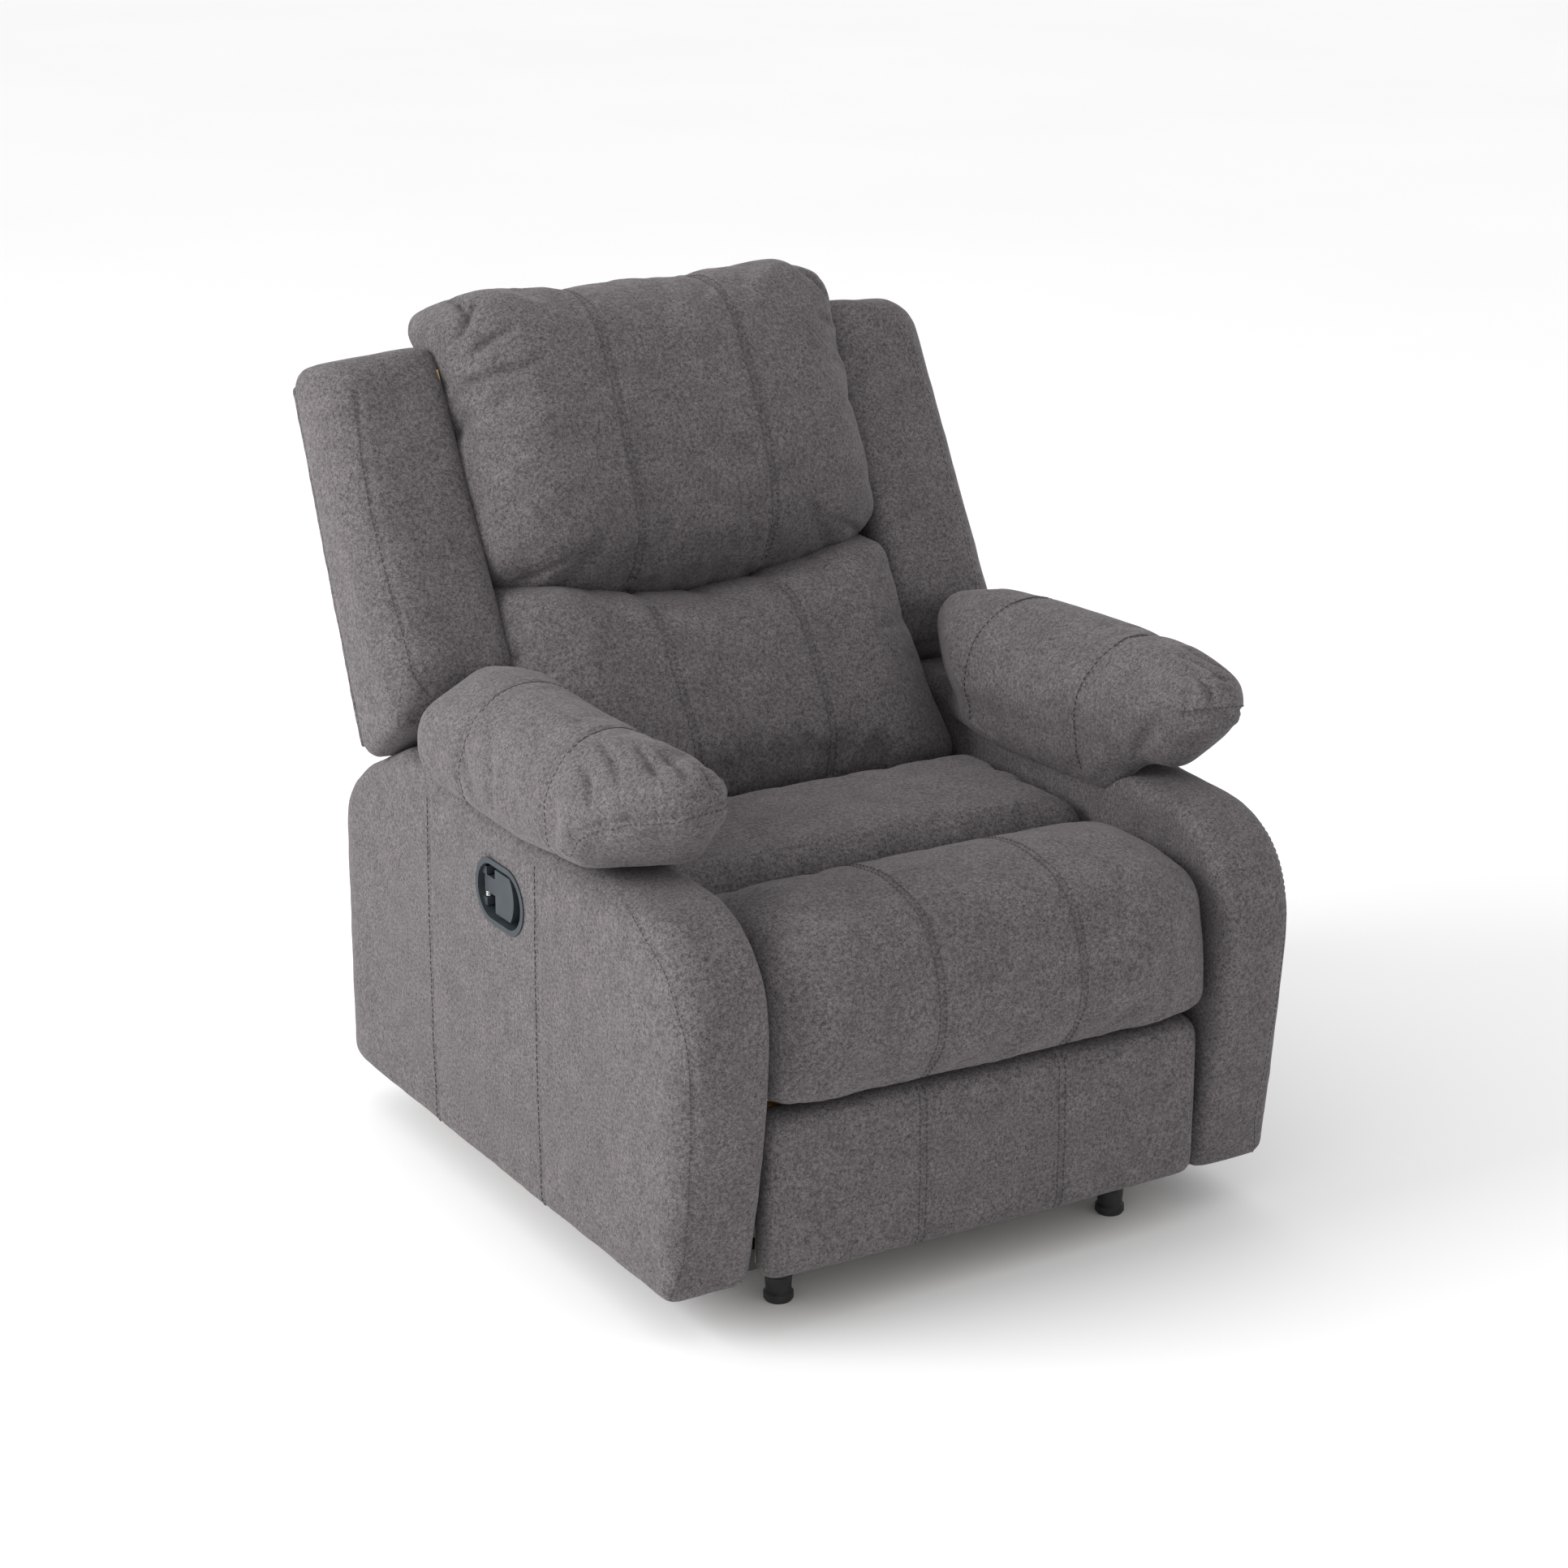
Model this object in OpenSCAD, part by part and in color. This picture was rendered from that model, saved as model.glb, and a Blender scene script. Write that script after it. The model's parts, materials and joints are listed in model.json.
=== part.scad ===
// Manual recliner armchair: fixed padded arms, reclining back with side wings,
// fold-out footrest on a pair of link chains, and a recessed pull handle.
// Axes: +X to the sitter's left, +Y towards the back, +Z up. Lengths in mm.
// Inside the modules Y is counted from the front plane of the arms, and the
// placed() wrapper moves the whole chair so that its box is centred on the origin.

/* [Overall] */
// Width over the two back wings
wings_w = 848; // [800:2:900]
// Width over the two arms
arms_w = 802; // [760:2:850]
// Depth of the arms from front plane to rear
arm_depth = 838; // [780:2:900]
// Height of the upholstery above the floor
base_clear = 57; // [45:1:80]

/* [Arms] */
// Thickness of each arm under its pad
arm_t = 107; // [104:1:125]
// Height of the arm under its pad
arm_top = 496; // [480:1:520]
// How far the arm front bulges forward of its foot
arm_belly = 50; // [30:1:70]
// Radius of the upper front corner of the arm
arm_nose_r = 125; // [90:1:130]
// Height of the arm behind the pad, above the recline hinge
shoulder_rise = 245; // [235:1:250]
// Gap between the reclining wings and the arm shoulder
wing_gap = 9; // [6:1:20]
// Height of the pad above the arm
pad_h = 174; // [150:1:200]
// Set-back of the pad's tip behind the arm front plane
pad_setback = 12; // [0:1:40]
// Gap between the pad and the wing behind it
pad_gap = 12; // [10:1:40]
// Overhang of the pad outside the arm
pad_overhang = 32; // [20:1:34]

/* [Seat] */
// Play between the seat cushions and each arm
seat_play = 6; // [4:1:12]
// Height of the seat frame's underside
seat_frame_z = 268; // [266:1:280]
// Depth of the seat frame's timber
seat_rail_h = 54; // [40:1:60]
// Top of the seat cushion
seat_top = 455; // [440:1:475]
// Height of the front roll's crest above the seat
roll_crest = 15; // [5:1:25]
// Line where the front roll meets the seat cushion
roll_rear = 203; // [180:1:230]
// How far the front roll bulges forward of the arm plane
roll_front = 50; // [35:1:60]

/* [Back] */
// Lean of the back at rest, in degrees from upright
lean = 22; // [16:1:26]
// Recline hinge, in front of the rear of the arms
hinge_inset = 198; // [190:1:205]
// Recline hinge, above the floor
hinge_z = 270; // [262:1:280]
// Top of the back frame, along the back from the hinge
back_frame_top = 680; // [640:1:700]
// Lower edge of the wings, along the back from the hinge
wing_foot = 228; // [226:1:240]
// Height of the head cushion above the back frame
head_rise = 66; // [60:1:85]

/* [Footrest] */
// Height of the folded footrest pad's lower edge
foot_pad_low = 62; // [60:1:75]
// Gap between the footrest pad and the front roll
foot_pad_gap = 6; // [5:1:10]
// Thickness of the footrest pad
foot_pad_t = 44; // [25:1:48]
// Thickness of the footrest board
board_t = 12; // [10:1:15]

/* [Mechanism] */
// Thickness of the steel links and plates
steel_t = 4; // [3:0.5:4]
// Gap between neighbouring layers of steel
layer_gap = 2; // [1.5:0.5:3]
// Radius of the main pins
pin_r = 6; // [5:0.5:7]
// Radius of the small pins
small_pin_r = 5; // [4:0.5:5.5]
// Running clearance of a pin in its bore
run_clear = 0.05; // [0.02:0.01:0.1]
// Fixed clearance of a pin in the part that holds it
hold_clear = 0.02; // [0.01:0.01:0.05]
// Play in the open pivot of the tie link
open_play = 5.8; // [5.5:0.1:7]

/* [Glides] */
// Distance of each glide inwards of its side plate
glide_inset = 51; // [30:1:70]
// Front glides, behind the arm plane
glide_front_y = 63; // [55:1:80]
// Rear glides, in front of the rear of the arms
glide_rear_inset = 98; // [80:1:120]
// Height of a glide
glide_h = 50; // [42:1:52]
// Side of the square cross tubes
tube_side = 25; // [20:1:30]

/* [Handle] */
// Middle of the handle, behind the arm plane
handle_y = 378; // [370:1:390]
// Middle of the handle, above the floor
handle_z = 410; // [400:1:415]
// Length of the handle recess
cup_len = 112; // [105:1:120]
// Height of the handle recess
cup_h = 70; // [66:1:74]
// Depth of the handle recess
cup_depth = 28; // [24:1:30]
// Width of the rim around the recess
rim_w = 4; // [3:0.5:6]

/* [Hidden] */

fabric_colour = "#6f6a6c";
timber_colour = "#c9a877";
board_colour = "#a98253";
steel_colour = "#2b2c2e";
zinc_colour = "#a9abad";
slate_colour = "#414a4f";
black_colour = "#17181a";
felt_colour = "#8c8a86";
web_colour = "#3c3a38";

// Widths counted outwards from the middle plane
arm_out = arms_w / 2;
arm_in = arm_out - arm_t;
wing_out = wings_w / 2;
seat_half = arm_in - seat_play;
cleat_t = 14;
plate_in = arm_in - cleat_t - steel_t;
layer = steel_t + layer_gap;
drive_in = plate_in - layer;
reach_in = drive_in - layer;
tie_in = reach_in - layer;
bracket_in = tie_in - layer;
glide_x = plate_in - glide_inset;
rivet_end = 0.6;

// Arm structure
panel_t = 18;
cover_skin = 3;
panel_in = arm_in + cover_skin;
fit_gap = 0.3;
batten_out = arm_out - 46;
bolt_z = 85;
bolt_r = 4;

// Distances counted rearwards from the front plane of the arms
hinge_y = arm_depth - hinge_inset;
glide_rear_y = arm_depth - glide_rear_inset;
first_bolt_y = 300;
bolt_pitch = (glide_rear_y - 20 - first_bolt_y) / 3;
bolt_ys = concat([for (i = [0:2]) first_bolt_y + i * bolt_pitch], [glide_rear_y]);
arm_shoulder = hinge_z + shoulder_rise;
head_top = back_frame_top + head_rise;

// Seat frame and cushion
seat_frame_half = plate_in - 0.3;
seat_frame_front = 24;
seat_frame_rear = hinge_y - 140;
rail_w = 35;
screw_r = 3;
leg_y = hinge_y - 220;
screw_points = [for (y = [140, 195, leg_y + 16, leg_y + 44]) [y, seat_frame_z + 18]];
deck_top = seat_frame_z + seat_rail_h + 11;
cushion_edge = (seat_top - deck_top) / 5;
roll_r = min(60, (seat_top - deck_top) / 2 - fit_gap);

// Link chain pivots, as [y, z] with the footrest folded
drive_pivot = [163, 234];
elbow = [319, 228];
tie_pivot = elbow + 24 * [cos(80), sin(80)];
board_pivot = [50, 168];
bracket_pivot = [94, 216];
tube_pivot = drive_pivot + [-8, 16];
latch_pivot = [440, 200];
leg_w = latch_pivot[0] + 40 - leg_y;
cable_end = latch_pivot + [26, 15];

// Back, in its own plane: v counts rearwards from the hinge and u upwards along the back
frame_front = -62;
frame_rear = -22;
back_skin = 6;
stile_out = drive_in - 0.2;
stile_w = 31;
cushion_rear = -65;
lumbar_foot = [-201, 105];
lumbar_foot_r = 40;
lumbar_waist = wing_foot - 40;
wing_front = [-174, wing_foot + 22];
wing_rear = frame_rear - fit_gap;
sweep_r = norm([wing_rear, wing_foot]) - wing_gap;
recline = 30;
seat_rear = on_back_y(lumbar_foot) - lumbar_foot_r - 1;
pad_rear = on_back_y(wing_front) - pad_gap;

// How far behind the hinge a [v, u] point of the back lies
function on_back_y(p) = hinge_y + p[1] * sin(lean) + p[0] * cos(lean);

// Footrest
foot_pad_top = seat_frame_z - foot_pad_gap;
board_y = 22;

// Handle
pivot_y = handle_y + 45;
pivot_x = arm_out - 7;

// Rear top edge of the head cushion, as [v, u], and its radius
head_heel_r = 25;
head_heel = [-48, head_top - 26];

chair_front = -arm_belly;
chair_rear = max(on_back_y([frame_rear + back_skin, back_frame_top]), on_back_y(head_heel) + head_heel_r);
centre_y = (chair_front + chair_rear) / 2;

// ---- helpers ----

// Moves chair coordinates to the row frame
module placed() translate([0, -centre_y, 0]) children();

// Mirrors a sitter's-left piece to the sitter's right
module mirrored() mirror([1, 0, 0]) children();

// Makes a piece on both sides
module both_sides() {
    children();
    mirrored() children();
}

// Extrudes a [y, z] outline from x0 to x1
module slab_x(x0, x1) translate([x0, 0, 0]) rotate([90, 0, 90]) linear_extrude(x1 - x0) children();

// A round bar along X at a [y, z] point
module bar_x(p, r, x0, x1) translate([x0, p[0], p[1]]) rotate([0, 90, 0]) cylinder(r = r, h = x1 - x0, $fn = 48);

// Carries the back's own plane: local Y is v and local Z is u
module on_back() translate([0, hinge_y, hinge_z]) rotate([-lean, 0, 0]) children();

// A block between two corners
module block(low, high) translate(low) cube(high - low);

// A soft slab across the chair between two [y, z] corners, with every edge cut back by r
module soft_slab(low, high, half, r) hull() {
    slab_x(-half + r, half - r) polygon([[low[0] + r, low[1]], [high[0] - r, low[1]], [high[0], low[1] + r],
        [high[0], high[1] - r], [high[0] - r, high[1]], [low[0] + r, high[1]], [low[0], high[1] - r],
        [low[0], low[1] + r]]);
    slab_x(-half, half) translate(low + [r, r]) square(high - low - [2 * r, 2 * r]);
}

// A padded shape through balls given as [y, z, radius, half width], the same on both sides
module soft_span(balls) hull()
    for (b = balls, s = [-1, 1]) translate([s * (b[3] - b[2]), b[0], b[1]]) sphere(r = b[2], $fn = 28);

// Flat bar with round ends between [y, z] points
module link_outline(p, q, r) hull() {
    translate(p) circle(r = r, $fn = 32);
    translate(q) circle(r = r, $fn = 32);
}

function arc(c, r, a0, a1, n) = [for (i = [0:n]) c + r * [cos(a0 + (a1 - a0) * i / n), sin(a0 + (a1 - a0) * i / n)]];

// ---- arms ----

// Side view of an arm. The shoulder is an arc about the recline hinge, so the wings clear it.
module arm_outline() {
    nose = [arm_nose_r - arm_belly, arm_top - arm_nose_r];
    steps = 8;
    rear_angle = acos(min(1, hinge_inset / sweep_r));
    polygon(concat(
        [for (i = [0:steps]) let (t = i / steps)
            [-arm_belly * sin(90 * t), base_clear + (nose[1] - base_clear) * t]],
        [for (a = [170:-10:90]) nose + arm_nose_r * [cos(a), sin(a)]],
        [[pad_rear + 6, arm_top], [pad_rear + 6, arm_shoulder], [hinge_y, arm_shoulder]],
        arc([hinge_y, hinge_z], sweep_r, 73, rear_angle, 8),
        [[arm_depth, base_clear]]));
}

// Plywood side panel of an arm
module panel_outline() polygon([[12, base_clear + 5], [arm_depth - 12, base_clear + 5],
    [arm_depth - 12, hinge_z + 75], [hinge_y + 50, hinge_z + 195], [pad_rear + 8, arm_top - 26],
    [20, arm_top - 26]]);

module bolt_holes(x0, x1, r) for (y = bolt_ys) bar_x([y, bolt_z], r, x0, x1);

module arm_panel() difference() {
    slab_x(panel_in, panel_in + panel_t) panel_outline();
    bolt_holes(panel_in - 1, panel_in + panel_t - 3, bolt_r + hold_clear);
}

// Posts and rails that carry the outer side of an arm
module arm_battens(grow) {
    x0 = panel_in + panel_t + fit_gap - grow;
    x1 = batten_out + grow;
    low = base_clear + 5;
    block([x0, 20 - grow, low - grow], [x1, 60 + grow, arm_top - 36 + grow]);
    block([x0, 60 - grow, low - grow], [x1, arm_depth - 58 + grow, low + 30 + grow]);
    block([x0, arm_depth - 58 - grow, low - grow], [x1, arm_depth - 18 + grow, hinge_z + 60 + grow]);
    block([x0, 60 - grow, arm_top - 66 - grow], [x1, pad_rear + grow, arm_top - 36 + grow]);
}

module arm_cover() difference() {
    union() {
        slab_x(arm_in, arm_out - 10) arm_outline();
        slab_x(arm_out - 10, arm_out) offset(delta = -8) arm_outline();
    }
    slab_x(panel_in - fit_gap, panel_in + panel_t + fit_gap) offset(delta = fit_gap) panel_outline();
    arm_battens(fit_gap);
    bolt_holes(arm_in - 1, panel_in + 1, bolt_r + hold_clear);
}

// Overstuffed cushion: its ridge runs along the inner side, its outer side slopes down, and
// its tip is drawn in towards the seat. Each ball is [rear, above the arm, radius, share
// of the way from the inner side to the outer].
module arm_pad() {
    z0 = arm_top + 1;
    x_in = arm_in - 4;
    x_out = arm_out + pad_overhang;
    hull() for (b = [[pad_rear - 45, 45, 45, 0], [pad_rear - 45, 45, 45, 1], [pad_rear - 22, 98, 24, 0],
            [pad_rear - 80, 90, 45, 0], [pad_rear - 60, 60, 45, 1], [150, pad_h - 50, 50, 0], [150, 72, 50, 1],
            [pad_setback + 48, pad_h - 64, 48, 0], [pad_setback + 84, 95, 46, 0.5],
            [pad_setback + 50, 50, 50, 0], [pad_setback + 138, 50, 45, 1]])
        translate([x_in + b[2] + b[3] * (x_out - x_in - 2 * b[2]), b[0], z0 + b[1]]) sphere(r = b[2], $fn = 28);
}

module arm_panel_left() placed() color(board_colour) arm_panel();
module arm_panel_right() placed() color(board_colour) mirrored() difference() {
    arm_panel();
    cable_run(4);
}
module arm_battens_left() placed() color(timber_colour) arm_battens(0);
module arm_battens_right() placed() color(timber_colour) mirrored() arm_battens(0);
module arm_cover_left() placed() color(fabric_colour) arm_cover();
module arm_cover_right() placed() color(fabric_colour) mirrored() difference() {
    arm_cover();
    cup_outline(cup_h / 2 + fit_gap, arm_out - cup_depth - fit_gap, arm_out + 1);
    cable_run(4);
}
module arm_pad_left() placed() color(fabric_colour) arm_pad();
module arm_pad_right() placed() color(fabric_colour) mirrored() arm_pad();

// ---- base ----

// Steel plate that carries the links, the seat frame and the recline hinge
module side_plate() difference() {
    slab_x(plate_in, plate_in + steel_t) union() {
        translate([48, base_clear + 3]) square([arm_depth - 116, 52]);
        translate([120, base_clear + 3]) square([95, seat_frame_z + 32 - base_clear - 3]);
        translate([leg_y, base_clear + 3]) square([leg_w, seat_frame_z + 32 - base_clear - 3]);
        translate([hinge_y - 30, base_clear + 3]) square([60, hinge_z - base_clear - 3]);
        translate([hinge_y, hinge_z]) circle(r = 30, $fn = 48);
    }
    bar_x(drive_pivot, pin_r + hold_clear, plate_in - 1, arm_in);
    bar_x([hinge_y, hinge_z], pin_r + hold_clear, plate_in - 1, arm_in);
    bar_x(latch_pivot, small_pin_r + hold_clear, plate_in - 1, arm_in);
    bolt_holes(plate_in - 1, arm_in, bolt_r + hold_clear);
    for (p = screw_points) bar_x(p, screw_r + hold_clear, plate_in - 1, arm_in);
}

module side_plate_left() placed() color(steel_colour) side_plate();
module side_plate_right() placed() color(steel_colour) mirrored() difference() {
    side_plate();
    bar_x(cable_end, 3.4, plate_in - 1, arm_in);
}

module side_cleats() placed() color(timber_colour) both_sides() difference() {
    block([plate_in + steel_t, 250, base_clear + 5], [arm_in, arm_depth - 58, base_clear + 53]);
    bolt_holes(plate_in, arm_in + 1, bolt_r + hold_clear);
}

module arm_bolts() placed() color(zinc_colour) both_sides() for (y = bolt_ys) {
    bar_x([y, bolt_z], bolt_r, plate_in - 1, panel_in + panel_t - 4);
    translate([plate_in - 3.5, y, bolt_z]) rotate([0, 90, 0]) cylinder(r = 7.5, h = 3.5, $fn = 6);
}

// Square tube with walls, across the chair under the side plates' level
module cross_tube(y) difference() {
    block([-plate_in, y - tube_side / 2, glide_h], [plate_in, y + tube_side / 2, glide_h + tube_side]);
    block([-plate_in - 1, y - tube_side / 2 + 1.5, glide_h + 1.5],
        [plate_in + 1, y + tube_side / 2 - 1.5, glide_h + tube_side - 1.5]);
    for (s = [-1, 1]) translate([s * glide_x, y, glide_h - 1]) cylinder(r = bolt_r + hold_clear, h = 4, $fn = 32);
}

module front_cross_tube() placed() color(steel_colour) cross_tube(glide_front_y);
module rear_cross_tube() placed() color(steel_colour) cross_tube(glide_rear_y);

// Stepped, tapered plastic glide with a threaded stem
module glide(x, y) placed() color(black_colour) translate([x, y, 0]) {
    rotate_extrude($fn = 64) polygon([[0, 0], [15, 0], [17, 3], [17, 10], [14.5, 13], [15.5, 30],
        [19, 34], [19, glide_h], [0, glide_h]]);
    cylinder(r = bolt_r, h = glide_h + 14, $fn = 32);
}

module glide_front_left() glide(glide_x, glide_front_y);
module glide_front_right() glide(-glide_x, glide_front_y);
module glide_rear_left() glide(glide_x, glide_rear_y);
module glide_rear_right() glide(-glide_x, glide_rear_y);

// Rear apron, as high as the reclined back leaves room for
module rear_apron() placed() color(fabric_colour) {
    front = arm_depth - 20;
    low_lean = lean + recline;
    top = hinge_z + ((front - hinge_y) * cos(low_lean) + frame_rear + back_skin + 15) / sin(low_lean);
    block([-arm_in + 0.5, front, base_clear + 5], [arm_in - 0.5, arm_depth - 6, top]);
}

// ---- seat ----

module seat_side_rails() placed() color(timber_colour) both_sides() difference() {
    block([seat_frame_half - rail_w, seat_frame_front, seat_frame_z],
        [seat_frame_half, seat_frame_rear, seat_frame_z + seat_rail_h]);
    for (p = screw_points) bar_x(p, screw_r + hold_clear, seat_frame_half - 25, seat_frame_half + 1);
}

module seat_cross_rails() placed() color(timber_colour) {
    x1 = seat_frame_half - rail_w;
    for (y = [seat_frame_front, seat_frame_rear - rail_w])
        block([-x1, y, seat_frame_z], [x1, y + rail_w, seat_frame_z + seat_rail_h]);
}

module seat_screws() placed() color(zinc_colour) both_sides() for (p = screw_points) {
    bar_x(p, screw_r, seat_frame_half - 24, plate_in + steel_t);
    bar_x(p, 6, plate_in + steel_t, plate_in + steel_t + 3);
}

// One sinuous spring drawn as a flat path of bars and half rings, along Y
module sinuous_outline(length, wire, swing, pitch) {
    turns = floor(length / pitch);
    for (i = [0:turns]) translate([-swing, i * pitch - wire / 2]) square([2 * swing, wire]);
    for (i = [0:turns - 1]) translate([(i % 2 == 0 ? 1 : -1) * swing, (i + 0.5) * pitch])
        intersection() {
            difference() {
                circle(r = pitch / 2 + wire / 2, $fn = 32);
                circle(r = pitch / 2 - wire / 2, $fn = 32);
            }
            translate([i % 2 == 0 ? 0 : -pitch, -pitch]) square([pitch, 2 * pitch]);
        }
}

module seat_springs() placed() color(zinc_colour)
    for (i = [-3, -1, 1, 3])
        translate([i * plate_in / 5, seat_frame_front + 8, seat_frame_z + seat_rail_h + fit_gap])
            linear_extrude(4) sinuous_outline(seat_frame_rear - seat_frame_front - 16, 4, 20, 20);

module seat_deck() placed() color(felt_colour) {
    z0 = seat_frame_z + seat_rail_h + 5;
    block([-seat_frame_half, seat_frame_front + 2, z0], [seat_frame_half, seat_frame_rear - 6, z0 + 6]);
}

module seat_cushion() placed() color(fabric_colour)
    soft_slab([roll_rear + 0.5, deck_top + fit_gap], [seat_rear, seat_top], seat_half, cushion_edge);

// Waterfall roll: a cushion on the deck with a skirt that hangs in front of the frame
module front_roll() placed() color(fabric_colour) union() {
    crown_r = min(58, roll_r + roll_crest / 2);
    heel_r = min(38, roll_r);
    soft_span([[roll_r - roll_front, seat_top - roll_r, roll_r, seat_half],
        [roll_rear - 143, seat_top + roll_crest - crown_r, crown_r, seat_half],
        [roll_rear - heel_r, seat_top - heel_r - 2, heel_r, seat_half],
        [roll_rear - heel_r, deck_top + fit_gap + heel_r, heel_r, seat_half]]);
    soft_span([[37 - roll_front, deck_top + 12, 37, seat_half],
        [41 - roll_front, seat_frame_z + 25, 25, seat_half]]);
}

// ---- handle ----

// Long round outline of the handle, from x0 to x1
module cup_outline(r, x0, x1) slab_x(x0, x1) hull()
    for (s = [-1, 1]) translate([handle_y + s * (cup_len - cup_h) / 2, handle_z]) circle(r = r, $fn = 64);

module handle_bezel() placed() color(slate_colour) mirrored() difference() {
    union() {
        difference() {
            union() {
                cup_outline(cup_h / 2 + rim_w, arm_out, arm_out + 3.5);
                cup_outline(cup_h / 2, arm_out - cup_depth, arm_out + 1);
            }
            cup_outline(cup_h / 2 - 2.5, arm_out - cup_depth + 3, arm_out + 4);
        }
        for (z = [[-23.5, -14.5], [13.5, 23.5]])
            intersection() {
                block([arm_out - cup_depth + 2, pivot_y - 6, handle_z + z[0]], [arm_out - 1, pivot_y + 12, handle_z + z[1]]);
                cup_outline(cup_h / 2 - 1, arm_out - cup_depth, arm_out);
            }
    }
    translate([pivot_x, pivot_y, handle_z - 22]) cylinder(r = 2.5 + hold_clear, h = 44, $fn = 48);
}

module handle_pin() placed() color(zinc_colour) mirrored()
    translate([pivot_x, pivot_y, handle_z - 21.5]) cylinder(r = 2.5, h = 43, $fn = 48);

module handle_spring() placed() color(zinc_colour) mirrored()
    for (i = [0:2]) translate([pivot_x, pivot_y, handle_z - 13 + 2 * i])
        rotate_extrude($fn = 48) translate([4, 0]) circle(r = 0.8, $fn = 16);

// T-shaped pull: a narrow stem on the pin and a wide head in front of it
module handle_paddle() placed() color(slate_colour) mirrored() difference() {
    union() {
        translate([pivot_x, pivot_y, handle_z - 7.5]) cylinder(r = 5, h = 20, $fn = 48);
        block([pivot_x - 4, handle_y + 16, handle_z - 7.5], [pivot_x + 4, pivot_y, handle_z + 12.5]);
        intersection() {
            block([pivot_x - 4, handle_y - 29, handle_z - 26], [pivot_x + 6.5, handle_y + 17, handle_z + 26]);
            bar_x([handle_y + 12, handle_z], 41, pivot_x - 5, pivot_x + 7);
        }
    }
    translate([pivot_x, pivot_y, handle_z - 12]) cylinder(r = 2.5 + run_clear, h = 30, $fn = 48);
}

// Path of the release cable from the handle recess to the latch; r is the radius
module cable_run(r) {
    x_arm = arm_out - cup_depth - 9;
    x_gap = plate_in + steel_t + 7;
    start = [pivot_y - 8, handle_z];
    low = [pivot_y - 8, cable_end[1]];
    bar_x(start, r, x_arm, arm_out - cup_depth - 0.2);
    translate([x_arm, low[0], low[1]]) cylinder(r = r, h = start[1] - low[1], $fn = 32);
    bar_x(low, r, x_gap, x_arm);
    translate([x_gap, low[0], low[1]]) rotate([-90, 0, 0]) cylinder(r = r, h = cable_end[0] - low[0], $fn = 32);
    bar_x(cable_end, r, plate_in - 0.6, x_gap);
    for (p = [[x_arm, start[0], start[1]], [x_arm, low[0], low[1]], [x_gap, low[0], low[1]],
            [x_gap, cable_end[0], cable_end[1]]])
        translate(p) sphere(r = r, $fn = 32);
}

module release_cable() placed() color(black_colour) mirrored() cable_run(3);

module release_latch() placed() color(zinc_colour) mirrored() difference() {
    slab_x(drive_in, drive_in + steel_t) union() {
        link_outline(latch_pivot, latch_pivot + [-88, 16], 9);
        link_outline(latch_pivot + [-88, 16], latch_pivot + [-97, 22], 5);
        link_outline(latch_pivot, cable_end + [-4, 12], 7);
    }
    bar_x(latch_pivot, small_pin_r + run_clear, drive_in - 1, plate_in);
}

module latch_pin() placed() color(zinc_colour) mirrored()
    bar_x(latch_pivot, small_pin_r, drive_in - rivet_end, plate_in + steel_t);

// ---- footrest links ----

module drive_pins() placed() color(zinc_colour) both_sides()
    bar_x(drive_pivot, pin_r, drive_in - rivet_end, plate_in + steel_t);

module drive_links() placed() color(steel_colour) both_sides() difference() {
    slab_x(drive_in, drive_in + steel_t) union() {
        link_outline(drive_pivot, elbow, 14);
        link_outline(elbow, tie_pivot, 10);
        link_outline(drive_pivot, tube_pivot, 12);
    }
    bar_x(drive_pivot, pin_r + run_clear, drive_in - 1, plate_in);
    bar_x(elbow, pin_r + hold_clear, drive_in - 1, plate_in);
    bar_x(tie_pivot, small_pin_r + hold_clear, drive_in - 1, plate_in);
}

module torque_tube() placed() color(steel_colour) difference() {
    bar_x(tube_pivot, 7, -drive_in, drive_in);
    bar_x(tube_pivot, 5.5, -drive_in - 1, drive_in + 1);
}

module elbow_pins() placed() color(zinc_colour) both_sides()
    bar_x(elbow, pin_r, reach_in - rivet_end, drive_in + steel_t + rivet_end);

module tie_pins() placed() color(zinc_colour) both_sides()
    bar_x(tie_pivot, small_pin_r, tie_in - rivet_end, drive_in + steel_t + rivet_end);

module reach_links() placed() color(steel_colour) both_sides() difference() {
    slab_x(reach_in, reach_in + steel_t) link_outline(elbow, board_pivot, 10);
    bar_x(elbow, pin_r + run_clear, reach_in - 1, drive_in);
    bar_x(board_pivot, small_pin_r + hold_clear, reach_in - 1, drive_in);
}

module footrest_pins() placed() color(zinc_colour) both_sides()
    bar_x(board_pivot, small_pin_r, bracket_in - rivet_end, reach_in + steel_t + rivet_end);

module tie_links() placed() color(steel_colour) both_sides() difference() {
    slab_x(tie_in, tie_in + steel_t) union() {
        link_outline(tie_pivot, bracket_pivot, 9);
        translate(bracket_pivot) circle(r = small_pin_r + open_play + 4, $fn = 48);
    }
    bar_x(tie_pivot, small_pin_r + run_clear, tie_in - 1, reach_in);
    bar_x(bracket_pivot, small_pin_r + open_play, tie_in - 1, reach_in);
}

module footrest_board() placed() color(board_colour)
    block([-seat_half + 16, board_y, foot_pad_low + 6], [seat_half - 16, board_y + board_t, foot_pad_top - 6]);

module footrest_brackets() placed() color(steel_colour) both_sides() difference() {
    union() {
        slab_x(bracket_in, bracket_in + steel_t) union() {
            link_outline(board_pivot, bracket_pivot, 11);
            translate([board_y + board_t + 0.2, board_pivot[1] - 38]) square([8, 100]);
        }
        block([bracket_in - 24, board_y + board_t + 0.2, board_pivot[1] - 38],
            [bracket_in + 1, board_y + board_t + 4, board_pivot[1] + 62]);
    }
    bar_x(board_pivot, small_pin_r + run_clear, bracket_in - 1, tie_in);
    bar_x(bracket_pivot, small_pin_r + hold_clear, bracket_in - 1, tie_in);
}

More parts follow.
